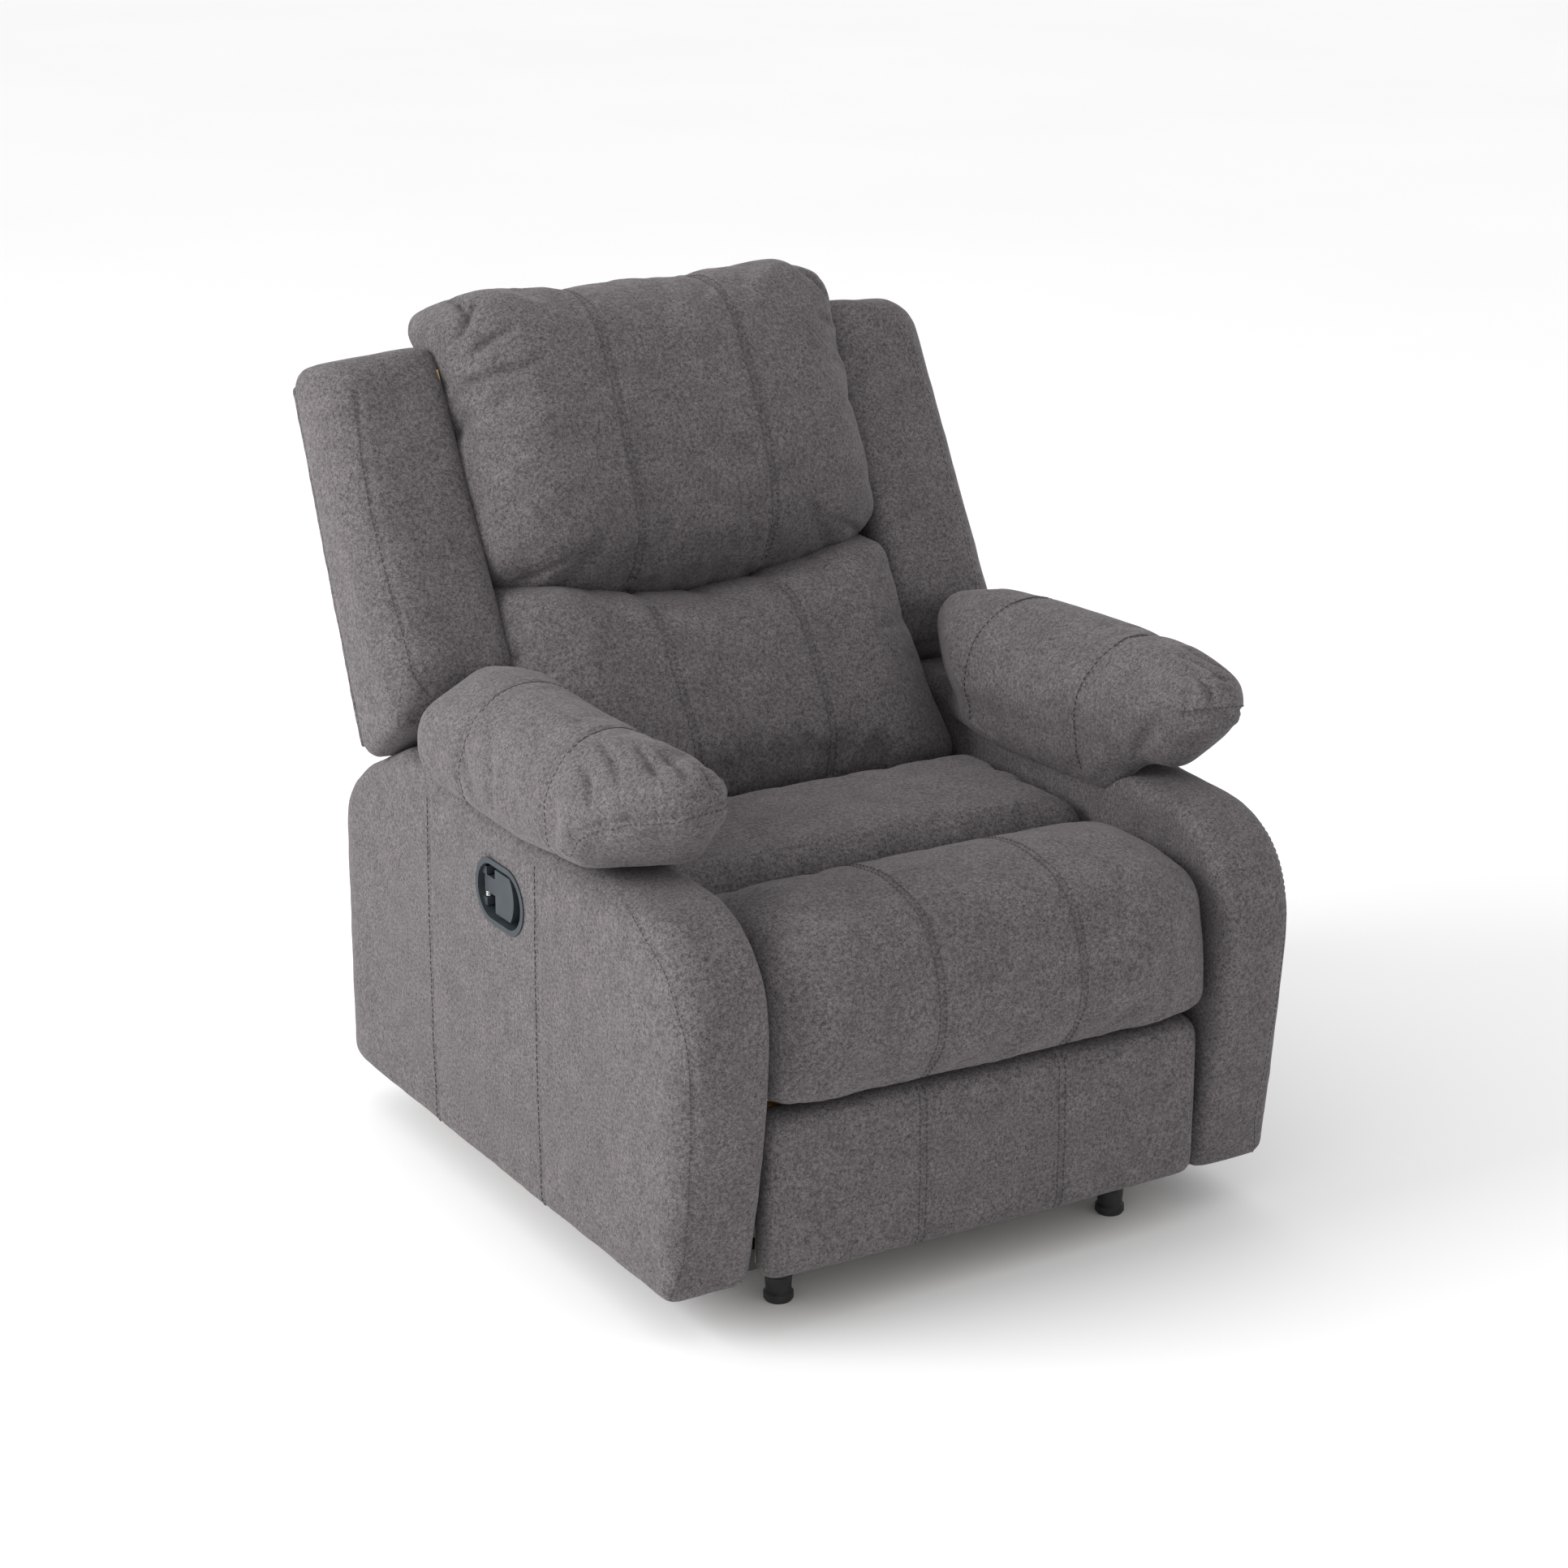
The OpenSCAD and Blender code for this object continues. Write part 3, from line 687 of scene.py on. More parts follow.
@dataclass
class Cover:
    """A padded cover: stuffed form, simulated swell, creases and stitch lines.

    Attributes:
        name: The piece's name.
        body: The body that it rides on.
        nodes: The CAD nodes that it stands for.
        lumps: Balls of stuffing.
        fill: How tight it is, from 0 to 1; not used.
        voxel: Cell of the even mesh, in millimetres.
        rounds: Smoothing rounds before the swell.
        pressure: Pressure of the swell, or 0 for a cover stretched over a board.
        looseness: Share by which the cloth is cut larger than its stuffing.
        backing: Where the cover is held to its frame.
        cap: Most that the swell may move a point, in millimetres.
        half_width: Limit on either side where the cover lies against its neighbours, in millimetres, or 0.
        creases: Lines pressed or sewn into it.
        ripple: Height of the soft unevenness, in millimetres.
        reshape: A last change to the places of its points.
    """

    name: str
    body: Body
    nodes: tuple[str, ...]
    lumps: list[Lump]
    fill: float = 0.7
    voxel: float = 7.5
    rounds: int = 6
    pressure: float = 0.0
    looseness: float = 0.03
    backing: Vector = field(default_factory=lambda: Vector((0, 1, 0)))
    cap: float = 24.0
    half_width: float = 0.0
    creases: list[Crease] = field(default_factory=list)
    ripple: float = 0.7
    reshape: Callable[[np.ndarray], np.ndarray] | None = None
    rows: list[list[Vector]] = field(default_factory=list)

    def build(self, fabric: bpy.types.Material) -> bpy.types.Object:
        """Make the cover and hand it to the frame.

        Args:
            fabric: Its material.

        Returns:
            The finished piece.
        """
        obj = new_object(self.name, hull_shell(self.lumps))
        even = obj.modifiers.new("even", "REMESH")
        even.mode = "VOXEL"
        even.voxel_size = self.voxel * MM
        ease = obj.modifiers.new("ease", "SMOOTH")
        ease.factor = 0.5
        ease.iterations = self.rounds
        settle(obj)
        if self.pressure:
            self.swell(obj)
        fine = obj.modifiers.new("fine", "SUBSURF")
        fine.levels = fine.render_levels = 1
        settle(obj)
        self.relax(obj.data)
        self.press(obj.data)
        obj.data.polygons.foreach_set("use_smooth", [True] * len(obj.data.polygons))
        obj.data.materials.clear()
        obj.data.materials.append(fabric)
        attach(obj, self.body.value)
        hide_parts(*self.nodes)
        log.info("%s: %d faces on %s", self.name, len(obj.data.polygons), self.body.value)
        return obj

    def swell(self, obj: bpy.types.Object) -> None:
        """Blow the cover up as cloth and keep its result within the cap.

        Args:
            obj: The even mesh.
        """
        scene = bpy.context.scene
        before = rows_of(obj.data)
        held = obj.vertex_groups.new(name="held")
        facing = rows_of(obj.data, "normal") @ np.array(self.backing.normalized())
        held.add([int(i) for i in np.nonzero(facing > HELD_FACING)[0]], 1.0, "REPLACE")
        cloth = obj.modifiers.new("cloth", "CLOTH")
        stuff = cloth.settings
        stuff.vertex_group_mass = held.name
        stuff.shrink_min = -self.looseness
        stuff.quality = 3
        stuff.mass = 0.25
        stuff.use_pressure = True
        stuff.uniform_pressure_force = self.pressure
        stuff.tension_stiffness = stuff.compression_stiffness = 8
        stuff.shear_stiffness = 4
        stuff.bending_stiffness = 0.5
        stuff.effector_weights.gravity = 0.0
        cloth.point_cache.frame_start, cloth.point_cache.frame_end = 1, SWELL_FRAMES
        for number in range(1, SWELL_FRAMES + 1):
            scene.frame_set(number)
        graph = bpy.context.evaluated_depsgraph_get()
        result = bpy.data.meshes.new_from_object(obj.evaluated_get(graph))
        moved = rows_of(result) - before
        reach = np.linalg.norm(moved, axis=1, keepdims=True)
        cap = self.cap * MM
        after = before + moved * (cap * np.tanh(reach / cap) / np.maximum(reach, 1e-9))
        bpy.data.meshes.remove(result)
        obj.modifiers.clear()
        scene.frame_set(1)
        move_to(obj.data, after)

    def relax(self, mesh: bpy.types.Mesh) -> None:
        """Give the cover its soft unevenness and its flats against neighbours.

        Args:
            mesh: The fine mesh.
        """
        rows = rows_of(mesh)
        normals = rows_of(mesh, "normal")
        lift = np.array([noise.noise(Vector(p) * 22.0) + 0.5 * noise.noise(Vector(p) * 47.0) for p in rows])
        rows += normals * (lift * self.ripple * MM)[:, None]
        if self.half_width:
            limit = self.half_width * MM
            rows[:, 0] = np.clip(rows[:, 0], -limit, limit)
        if self.reshape:
            rows = self.reshape(rows)
        move_to(mesh, rows)

    def press(self, mesh: bpy.types.Mesh) -> None:
        """Press the creases into the cover and note where the stitch rows run.

        Args:
            mesh: The fine mesh.
        """
        rows = rows_of(mesh)
        normals = rows_of(mesh, "normal")
        surface = BVHTree.FromPolygons([Vector(p) for p in rows], [tuple(p.vertices) for p in mesh.polygons])
        sink = np.zeros(len(rows))
        near = KDTree(len(rows))
        for i, p in enumerate(rows):
            near.insert(p, i)
        near.balance()
        for crease in self.creases:
            dropped = (self.drop(surface, p, crease.toward) for p in spread_points(crease.guide))
            path = [hit for hit in dropped if hit is not None]
            if len(path) < 3:
                log.warning("%s: a crease misses the cover", self.name)
                continue
            reach = crease.width * MM
            share: dict[int, float] = {}
            for k, (point, _) in enumerate(path):
                along = min(1.0, (k + 1) / len(path) * 0.98)
                strength = math.sin(math.pi * along) ** 0.7 if crease.fade else 1.0
                for _, index, distance in near.find_range(point, reach * 2.2):
                    value = strength * math.exp(-((distance / reach) ** 2) * 1.6)
                    if value > share.get(index, 0.0):
                        share[index] = value
            for index, value in share.items():
                sink[index] = max(sink[index], value * crease.depth)
            for offset in crease.stitched:
                self.rows.append(self.beside(surface, path, offset))
        move_to(mesh, rows - normals * (sink * MM)[:, None])

    @staticmethod
    def drop(surface: BVHTree, point: Vector, toward: Vector) -> tuple[Vector, Vector] | None:
        """Drop a point onto the cover.

        Args:
            surface: The cover.
            point: Where it starts, near the cover.
            toward: The direction of the drop.

        Returns:
            The place and normal on the cover, or None where it misses.
        """
        direction = toward.normalized()
        place, normal, _, _ = surface.ray_cast(point - direction * 0.35, direction, 0.6)
        return None if place is None else (place, normal)

    @staticmethod
    def beside(surface: BVHTree, path: list[tuple[Vector, Vector]], offset: float) -> list[Vector]:
        """Run a row beside a line, on the cover.

        Args:
            surface: The cover.
            path: Places and normals on the line.
            offset: Distance to the side, in millimetres.

        Returns:
            The row's points.
        """
        found = []
        for k, (place, normal) in enumerate(path):
            ahead = path[min(k + 1, len(path) - 1)][0] - path[max(k - 1, 0)][0]
            aside = ahead.cross(normal).normalized()
            hit, upright, _, _ = surface.find_nearest(place + aside * offset * MM)
            found.append(hit + upright * 0.0001)
        return found


# ---- stitching ----


@dataclass
class Stitching:
    """Topstitching along the covers of one body, made by a node tree.

    Attributes:
        body: The body that it rides on.
        rows: Stitch rows, each a list of points.
        pitch: Distance from one stitch to the next, in millimetres.
        length: Length of one stitch, in millimetres.
        thread: Radius of the thread, in millimetres.
    """

    body: Body
    rows: list[list[Vector]]
    pitch: float = 7.5
    length: float = 5.6
    thread: float = 0.55

    def tree(self, material: bpy.types.Material) -> tuple[bpy.types.NodeTree, dict[str, str]]:
        """Make the node tree that sews along a curve.

        Args:
            material: The thread's material.

        Returns:
            The tree, and the identifier of each named input.
        """
        tree = bpy.data.node_groups.new("sewing", "GeometryNodeTree")
        tree.interface.new_socket("Geometry", in_out="INPUT", socket_type="NodeSocketGeometry")
        names = {}
        for name in ("Pitch", "Stitch length", "Thread radius"):
            socket = tree.interface.new_socket(name, in_out="INPUT", socket_type="NodeSocketFloat")
            names[name] = socket.identifier
        tree.interface.new_socket("Geometry", in_out="OUTPUT", socket_type="NodeSocketGeometry")
        start = add_node(tree, "NodeGroupInput")
        path, pitch, length, radius = (start.outputs[name] for name in ("Geometry", *names))
        run = {"Curve": path, "Length": pitch}
        along = add_node(tree, "GeometryNodeCurveToPoints", {}, run, mode="LENGTH")
        half = add_node(tree, "ShaderNodeMath", {1: 0.5}, {0: length}, operation="MULTIPLY")
        size = add_node(tree, "ShaderNodeCombineXYZ", {}, {0: radius, 1: radius, 2: half.outputs[0]})
        bead = add_node(tree, "GeometryNodeMeshUVSphere", {"Segments": 6, "Rings": 5, "Radius": 1.0})
        ahead = {"Vector": along.outputs["Tangent"]}
        turn = add_node(tree, "FunctionNodeAlignRotationToVector", {}, ahead, axis="Z")
        beads = {"Points": along.outputs["Points"], "Instance": bead.outputs["Mesh"]}
        beads |= {"Rotation": turn.outputs[0], "Scale": size.outputs[0]}
        sewn = add_node(tree, "GeometryNodeInstanceOnPoints", {}, beads)
        real = add_node(tree, "GeometryNodeRealizeInstances", {}, {0: sewn.outputs[0]})
        plain = {"Geometry": real.outputs[0]}
        dressed = add_node(tree, "GeometryNodeSetMaterial", {"Material": material}, plain)
        add_node(tree, "NodeGroupOutput", {}, {0: dressed.outputs[0]})
        return tree, names

    def build(self, material: bpy.types.Material) -> bpy.types.Object | None:
        """Sew every row of the body.

        Args:
            material: The thread's material.

        Returns:
            The stitches as one piece, or None if there are no rows.
        """
        if not self.rows:
            return None
        curve = bpy.data.curves.new("rows", "CURVE")
        curve.dimensions = "3D"
        for row in self.rows:
            spline = curve.splines.new("POLY")
            spline.points.add(len(row) - 1)
            spline.points.foreach_set("co", [c for p in row for c in (*p, 1.0)])
        source = new_object("rows", curve)
        tree, names = self.tree(material)
        sewing = source.modifiers.new("sewing", "NODES")
        sewing.node_group = tree
        sizes = {"Pitch": self.pitch, "Stitch length": self.length, "Thread radius": self.thread}
        for name, value in sizes.items():
            sewing[names[name]] = value * MM
        graph = bpy.context.evaluated_depsgraph_get()
        mesh = bpy.data.meshes.new_from_object(source.evaluated_get(graph))
        source.modifiers.clear()
        bpy.data.objects.remove(source)
        obj = new_object(f"{self.body.value}_stitches", mesh)
        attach(obj, self.body.value)
        log.info("%s: %d faces", obj.name, len(mesh.polygons))
        return obj


# ---- sub-assemblies ----


@dataclass
class Back:
    """The reclining back: head and lumbar cushions, wings and outer panel.

    Attributes:
        seam_x: Distance of each upright seam from the middle.
        head_half: Half width of the head cushion.
        lumbar_half: Half width of the lumbar cushion at the seat.
        tuck_u: Where the cushions meet, up the back in the middle.
        tuck_rise: How much higher they meet at the sides.
        crest_u: Top of the head cushion.
    """

    seam_x: float = 92.0
    head_half: float = 266.0
    lumbar_half: float = 283.0
    tuck_u: float = 352.0
    tuck_rise: float = 30.0
    crest_u: float = 756.0

    def tuck(self, share: float) -> float:
        """Height of the tuck line at a share of the half width."""
        return self.tuck_u + self.tuck_rise * share * share

    def head_section(self, share: float) -> Balls:
        """Balls of the head cushion at a share of its half width.

        Args:
            share: From -1 to 1 across the piece.

        Returns:
            The balls, as lumps_across takes them.
        """
        low = self.tuck(share)
        edge = 1.0 if abs(share) > 0.9 else 0.0
        drop = 10.0 * edge
        return [
            (-152 + drop, low + 42, 38 - drop, self.head_half),
            (-158 + drop, 480, 40 - drop, self.head_half),
            (-157 + drop, 570, 40 - drop, self.head_half),
            (-140 + drop, 655, 44 - drop, self.head_half),
            (-120, self.crest_u - 52 - drop, 46 - drop, self.head_half + 4),
            (-74, low + 22, 20, self.head_half + 2),
            (-104, low + 40, 22, self.head_half + 3),
            (-104, 640, 22, self.head_half + 3),
            (-74, self.crest_u - 70, 22, self.head_half + 2),
        ]

    def heel_section(self, share: float) -> Balls:
        """Balls of the part that turns over the top of the frame."""
        edge = 8.0 if abs(share) > 0.9 else 0.0
        return [
            (-118, self.crest_u - 50 - edge, 44 - edge, self.head_half + 4),
            (-46, self.crest_u - 36, 24, self.head_half + 4),
            (-60, self.crest_u - 72, 14, self.head_half + 2),
        ]

    def lumbar_section(self, share: float) -> Balls:
        """Balls of the lumbar cushion at a share of its half width.

        Args:
            share: From -1 to 1 across the piece.

        Returns:
            The balls, as lumps_across takes them.
        """
        high = self.tuck(share) + 6
        edge = 8.0 if abs(share) > 0.9 else 0.0
        narrow = self.lumbar_half - 20
        return [
            (-196 + edge, 112, 38 - edge, self.lumbar_half),
            (-184 + edge, 190, 40 - edge, self.lumbar_half - 8),
            (-168 + edge, 262, 40 - edge, narrow),
            (-160 + edge, high - 34, 32 - edge, narrow),
            (-74, 98, 20, self.lumbar_half),
            (-100, high - 14, 22, narrow + 9),
            (-74, high - 14, 20, narrow + 6),
        ]

    def head(self) -> Cover:
        """The head cushion, with its upright seams and corner pleats.

        Returns:
            The cover.
        """
        creases = []
        for x in (-self.seam_x, self.seam_x):
            upper = ((x, -128, self.crest_u + 20), (x, -240, 690), (x * 1.02, -260, 560))
            guide = trace(on_back, *upper, (x, -250, 440), (x * 0.98, -240, 372))
            creases.append(Crease(guide, INTO_BACK + DOWN * 0.35, 3.0, 4.5, DOUBLE_ROW))
        near = ((-252, 690, 34, 40), (-252, 662, 58, 26), (-254, 632, 78, 8), (-238, 722, 16, 30))
        for x, u, dx, du in (*near, (252, 690, -30, 34), (254, 650, -36, 10)):
            guide = trace(on_back, (x, -200, u), (x + dx * 0.5, -200, u + du * 0.7), (x + dx, -200, u + du))
            creases.append(Crease(guide, INTO_BACK, 9.0, 8.0, (), True))
        for x in SIDES:
            guide = trace(on_back, (x * 240, -220, 392), (x * 205, -220, 398), (x * 180, -220, 410))
            creases.append(Crease(guide, INTO_BACK, 5.0, 7.0, (), True))
        return Cover(
            "head_cushion_cover", Body.BACK, ("head_cushion",),
            lumps_across(self.head_section, on_back) + lumps_across(self.heel_section, on_back), fill=0.8,
            pressure=4.0, backing=INTO_BACK, cap=22.0, half_width=276.0, creases=creases,
        )

    def lumbar(self) -> Cover:
        """The lumbar cushion, with its upright seams.

        Returns:
            The cover.
        """
        creases = []
        for x in (-self.seam_x, self.seam_x):
            guide = trace(on_back, (x, -240, 336), (x * 1.02, -250, 250), (x, -250, 100))
            creases.append(Crease(guide, INTO_BACK, 3.0, 4.5, DOUBLE_ROW))
        for x in SIDES:
            guide = trace(on_back, (x * 250, -240, 350), (x * 225, -240, 330), (x * 205, -240, 300))
            creases.append(Crease(guide, INTO_BACK, 3.5, 7.0, (), True))
        return Cover(
            "lumbar_cushion_cover", Body.BACK, ("lumbar_cushion",),
            lumps_across(self.lumbar_section, on_back), fill=0.75, pressure=4.0, backing=INTO_BACK,
            cap=18.0, half_width=286.0, creases=creases,
        )

    def wing(self, side: Side) -> Cover:
        """One side wing.

        Args:
            side: Which side it is on.

        Returns:
            The wing's cover.
        """
        nose = [(-62, 640, 54), (-70, 560, 58), (-76, 440, 62), (-94, 320, 62), (-106, 302, 58)]
        heel = [(-34, 670, 24), (-34, 238, 18), (-124, 256, 14)]
        inner, middle, outer = 263.0, 347.0, 422.0
        s = side.value
        lumps = []
        for pair in zip(nose, nose[1:]):
            across = (middle - 12, middle + 14)
            lumps.append([Ball(on_back(s * x, v, u), r * MM) for v, u, r in pair for x in across])
        lumps[-1] += [Ball(on_back(s * x, -96, 262), 16 * MM) for x in (294.0, 400.0)]
        body = []
        for v, u, r in nose:
            for x, q in ((286.0, 24), (outer - r, r)):
                body.append(Ball(on_back(s * x, v - r + q, u + (r - q if u > 600 else 0)), q * MM))
        body += [Ball(on_back(s * x, v, u), r * MM) for v, u, r in heel for x in (inner + r, outer - r)]
        edge = trace(on_back, (s * 418, -126, 640), (s * 421, -140, 482), (s * 421, -170, 276))
        creases = [Crease(edge, Vector((-s, 0.35, 0)), 1.6, 4.0, SINGLE_ROW)]
        return Cover(
            f"wing_{side.name.lower()}_cover", Body.BACK, (f"wing_{side.name.lower()}",), [*lumps, body],
            fill=0.6, rounds=4, creases=creases, ripple=0.9,
        )

    def panel(self) -> Cover:
        """The outer back panel, turned forwards over the frame's top rail.

        Returns:
            The cover.
        """
        plates = []
        for half, low, high in ((411.0, 240.0, 672.0), (276.0, 68.0, 250.0)):
            plates.append([Ball(on_back(sx * half, -13, u), 7 * MM) for sx in SIDES for u in (low, high)])
        turned = ((-13, 664), (-13, 683), (-56, 683))
        plates.append([Ball(on_back(sx * 262.0, v, u), 7 * MM) for sx in SIDES for v, u in turned])
        creases = []
        for x in (-262, 262):
            seam = trace(on_back, (x, 40, 668), (x, 40, 240))
            creases.append(Crease(seam, -INTO_BACK, 1.4, 4.0, SINGLE_ROW))
        return Cover(
            "outer_back_cover", Body.BACK, ("back_panel",), plates, fill=0.3, voxel=6.5, rounds=2,
            creases=creases, ripple=0.9,
        )


@dataclass
class Seat:
    """Seat cushion, front roll and rear apron.

    Attributes:
        half: Half width of the seat.
        seam_x: Distance of each seam from the middle.
        tuck_z: Height of the roll's lower edge in the middle.
        tuck_rise: How much higher that edge is at the sides.
    """

    half: float = 286.0
    seam_x: float = 92.0
    tuck_z: float = 264.0
    tuck_rise: float = 3.0

    def cushion_section(self, share: float) -> Balls:
        """Balls of the seat cushion at a share of its half width."""
        crown = 5.0 * (1 - share * share)
        return [
            (236, 420 + crown, 28, self.half),
            (330, 424 + crown, 28, self.half),
            (436, 420 + crown, 28, self.half),
            (236, 364, 26, self.half),
            (436, 364, 26, self.half),
        ]

    def roll_section(self, share: float) -> Balls:
        """Balls of the front roll's crest at a share of its half width."""
        edge = 12.0 if abs(share) > 0.9 else 0.0
        return [
            (0 + edge, 398, 56 - edge, self.half),
            (64, 411 - edge * 0.5, 54 - edge, self.half),
            (120, 412 - edge * 0.5, 48 - edge, self.half),
            (166, 414, 32, self.half),
            (166, 368, 30, self.half),
        ]

    def skirt_section(self, share: float) -> Balls:
        """Balls of the roll's front at a share of its half width.

        Args:
            share: From -1 to 1 across the piece.

        Returns:
            The balls, as lumps_across takes them.
        """
        edge = 12.0 if abs(share) > 0.9 else 0.0
        low = self.tuck_z + self.tuck_rise * share * share
        return [
            (0 + edge, 398, 56 - edge, self.half),
            (-14 + edge * 0.6, 340, 38 - edge, self.half),
            (-18 + edge * 0.4, low + 26, 25 - edge * 0.4, self.half),
            (10, low + 22, 20, self.half),
        ]

    def cushion(self) -> Cover:
        """The seat cushion."""
        return Cover(
            "seat_cushion_cover", Body.BASE, ("seat_cushion",), lumps_across(self.cushion_section, chair),
            fill=0.7, pressure=4.0, backing=DOWN, cap=10.0, half_width=289.0,
        )

    def roll(self) -> Cover:
        """The waterfall roll with its skirt.

        Returns:
            The cover.
        """
        creases = []
        for x in (-self.seam_x, self.seam_x):
            over = trace(chair, (x, 190, 470), (x, 120, 490), (x, 20, 480))
            front = trace(chair, (x, 20, 480), (x, -60, 420), (x, -70, 340), (x, -60, 272))
            creases.append(Crease(over, DOWN, 3.0, 4.5, DOUBLE_ROW))
            creases.append(Crease(front, Vector((0, 1, -0.5)), 3.0, 4.5, DOUBLE_ROW))
        return Cover(
            "front_roll_cover", Body.BASE, ("front_roll",),
            lumps_across(self.roll_section, chair) + lumps_across(self.skirt_section, chair), fill=0.8,
            pressure=4.0, backing=Vector((0, 0.8, -0.6)), cap=14.0, half_width=289.0, creases=creases,
        )

    def apron(self) -> Cover:
        """The panel between the arms at the rear."""
        balls = [Ball(chair(sx * 285, 825, z), 7 * MM) for sx in SIDES for z in (70, 398)]
        flat = {"fill": 0.2, "voxel": 6.0, "rounds": 2, "ripple": 1.0}
        return Cover("rear_apron_cover", Body.BASE, ("rear_apron",), [balls], **flat)


@dataclass
class Footrest:
    """The pad of the fold-out footrest.

    Attributes:
        half: Half width.
        seam_x: Distance of each seam from the middle.
    """

    half: float = 286.0
    seam_x: float = 92.0

    def section(self, share: float) -> Balls:
        """Balls of the pad at a share of its half width.

        Args:
            share: From -1 to 1 across the piece.

        Returns:
            The balls, as lumps_across takes them.
        """
        crown = 3.0 * (1 - share * share)
        front = [(-4 - crown, 82, 17), (-6 - crown, 160, 17), (-4 - crown, 241, 17)]
        return [(*ball, self.half) for ball in (*front, (6, 78, 15), (6, 246, 15))]

    def pad(self) -> Cover:
        """The pad, with its two seams.

        Returns:
            The cover.
        """
        creases = []
        for x in (-self.seam_x, self.seam_x):
            creases.append(Crease(trace(chair, (x, -20, 254), (x, -20, 70)), FORWARD, 1.8, 4.5, DOUBLE_ROW))
        return Cover(
            "footrest_pad_cover", Body.FOOTREST, ("footrest_pad",), lumps_across(self.section, chair),
            fill=0.6, voxel=6.0, rounds=2, creases=creases,
        )


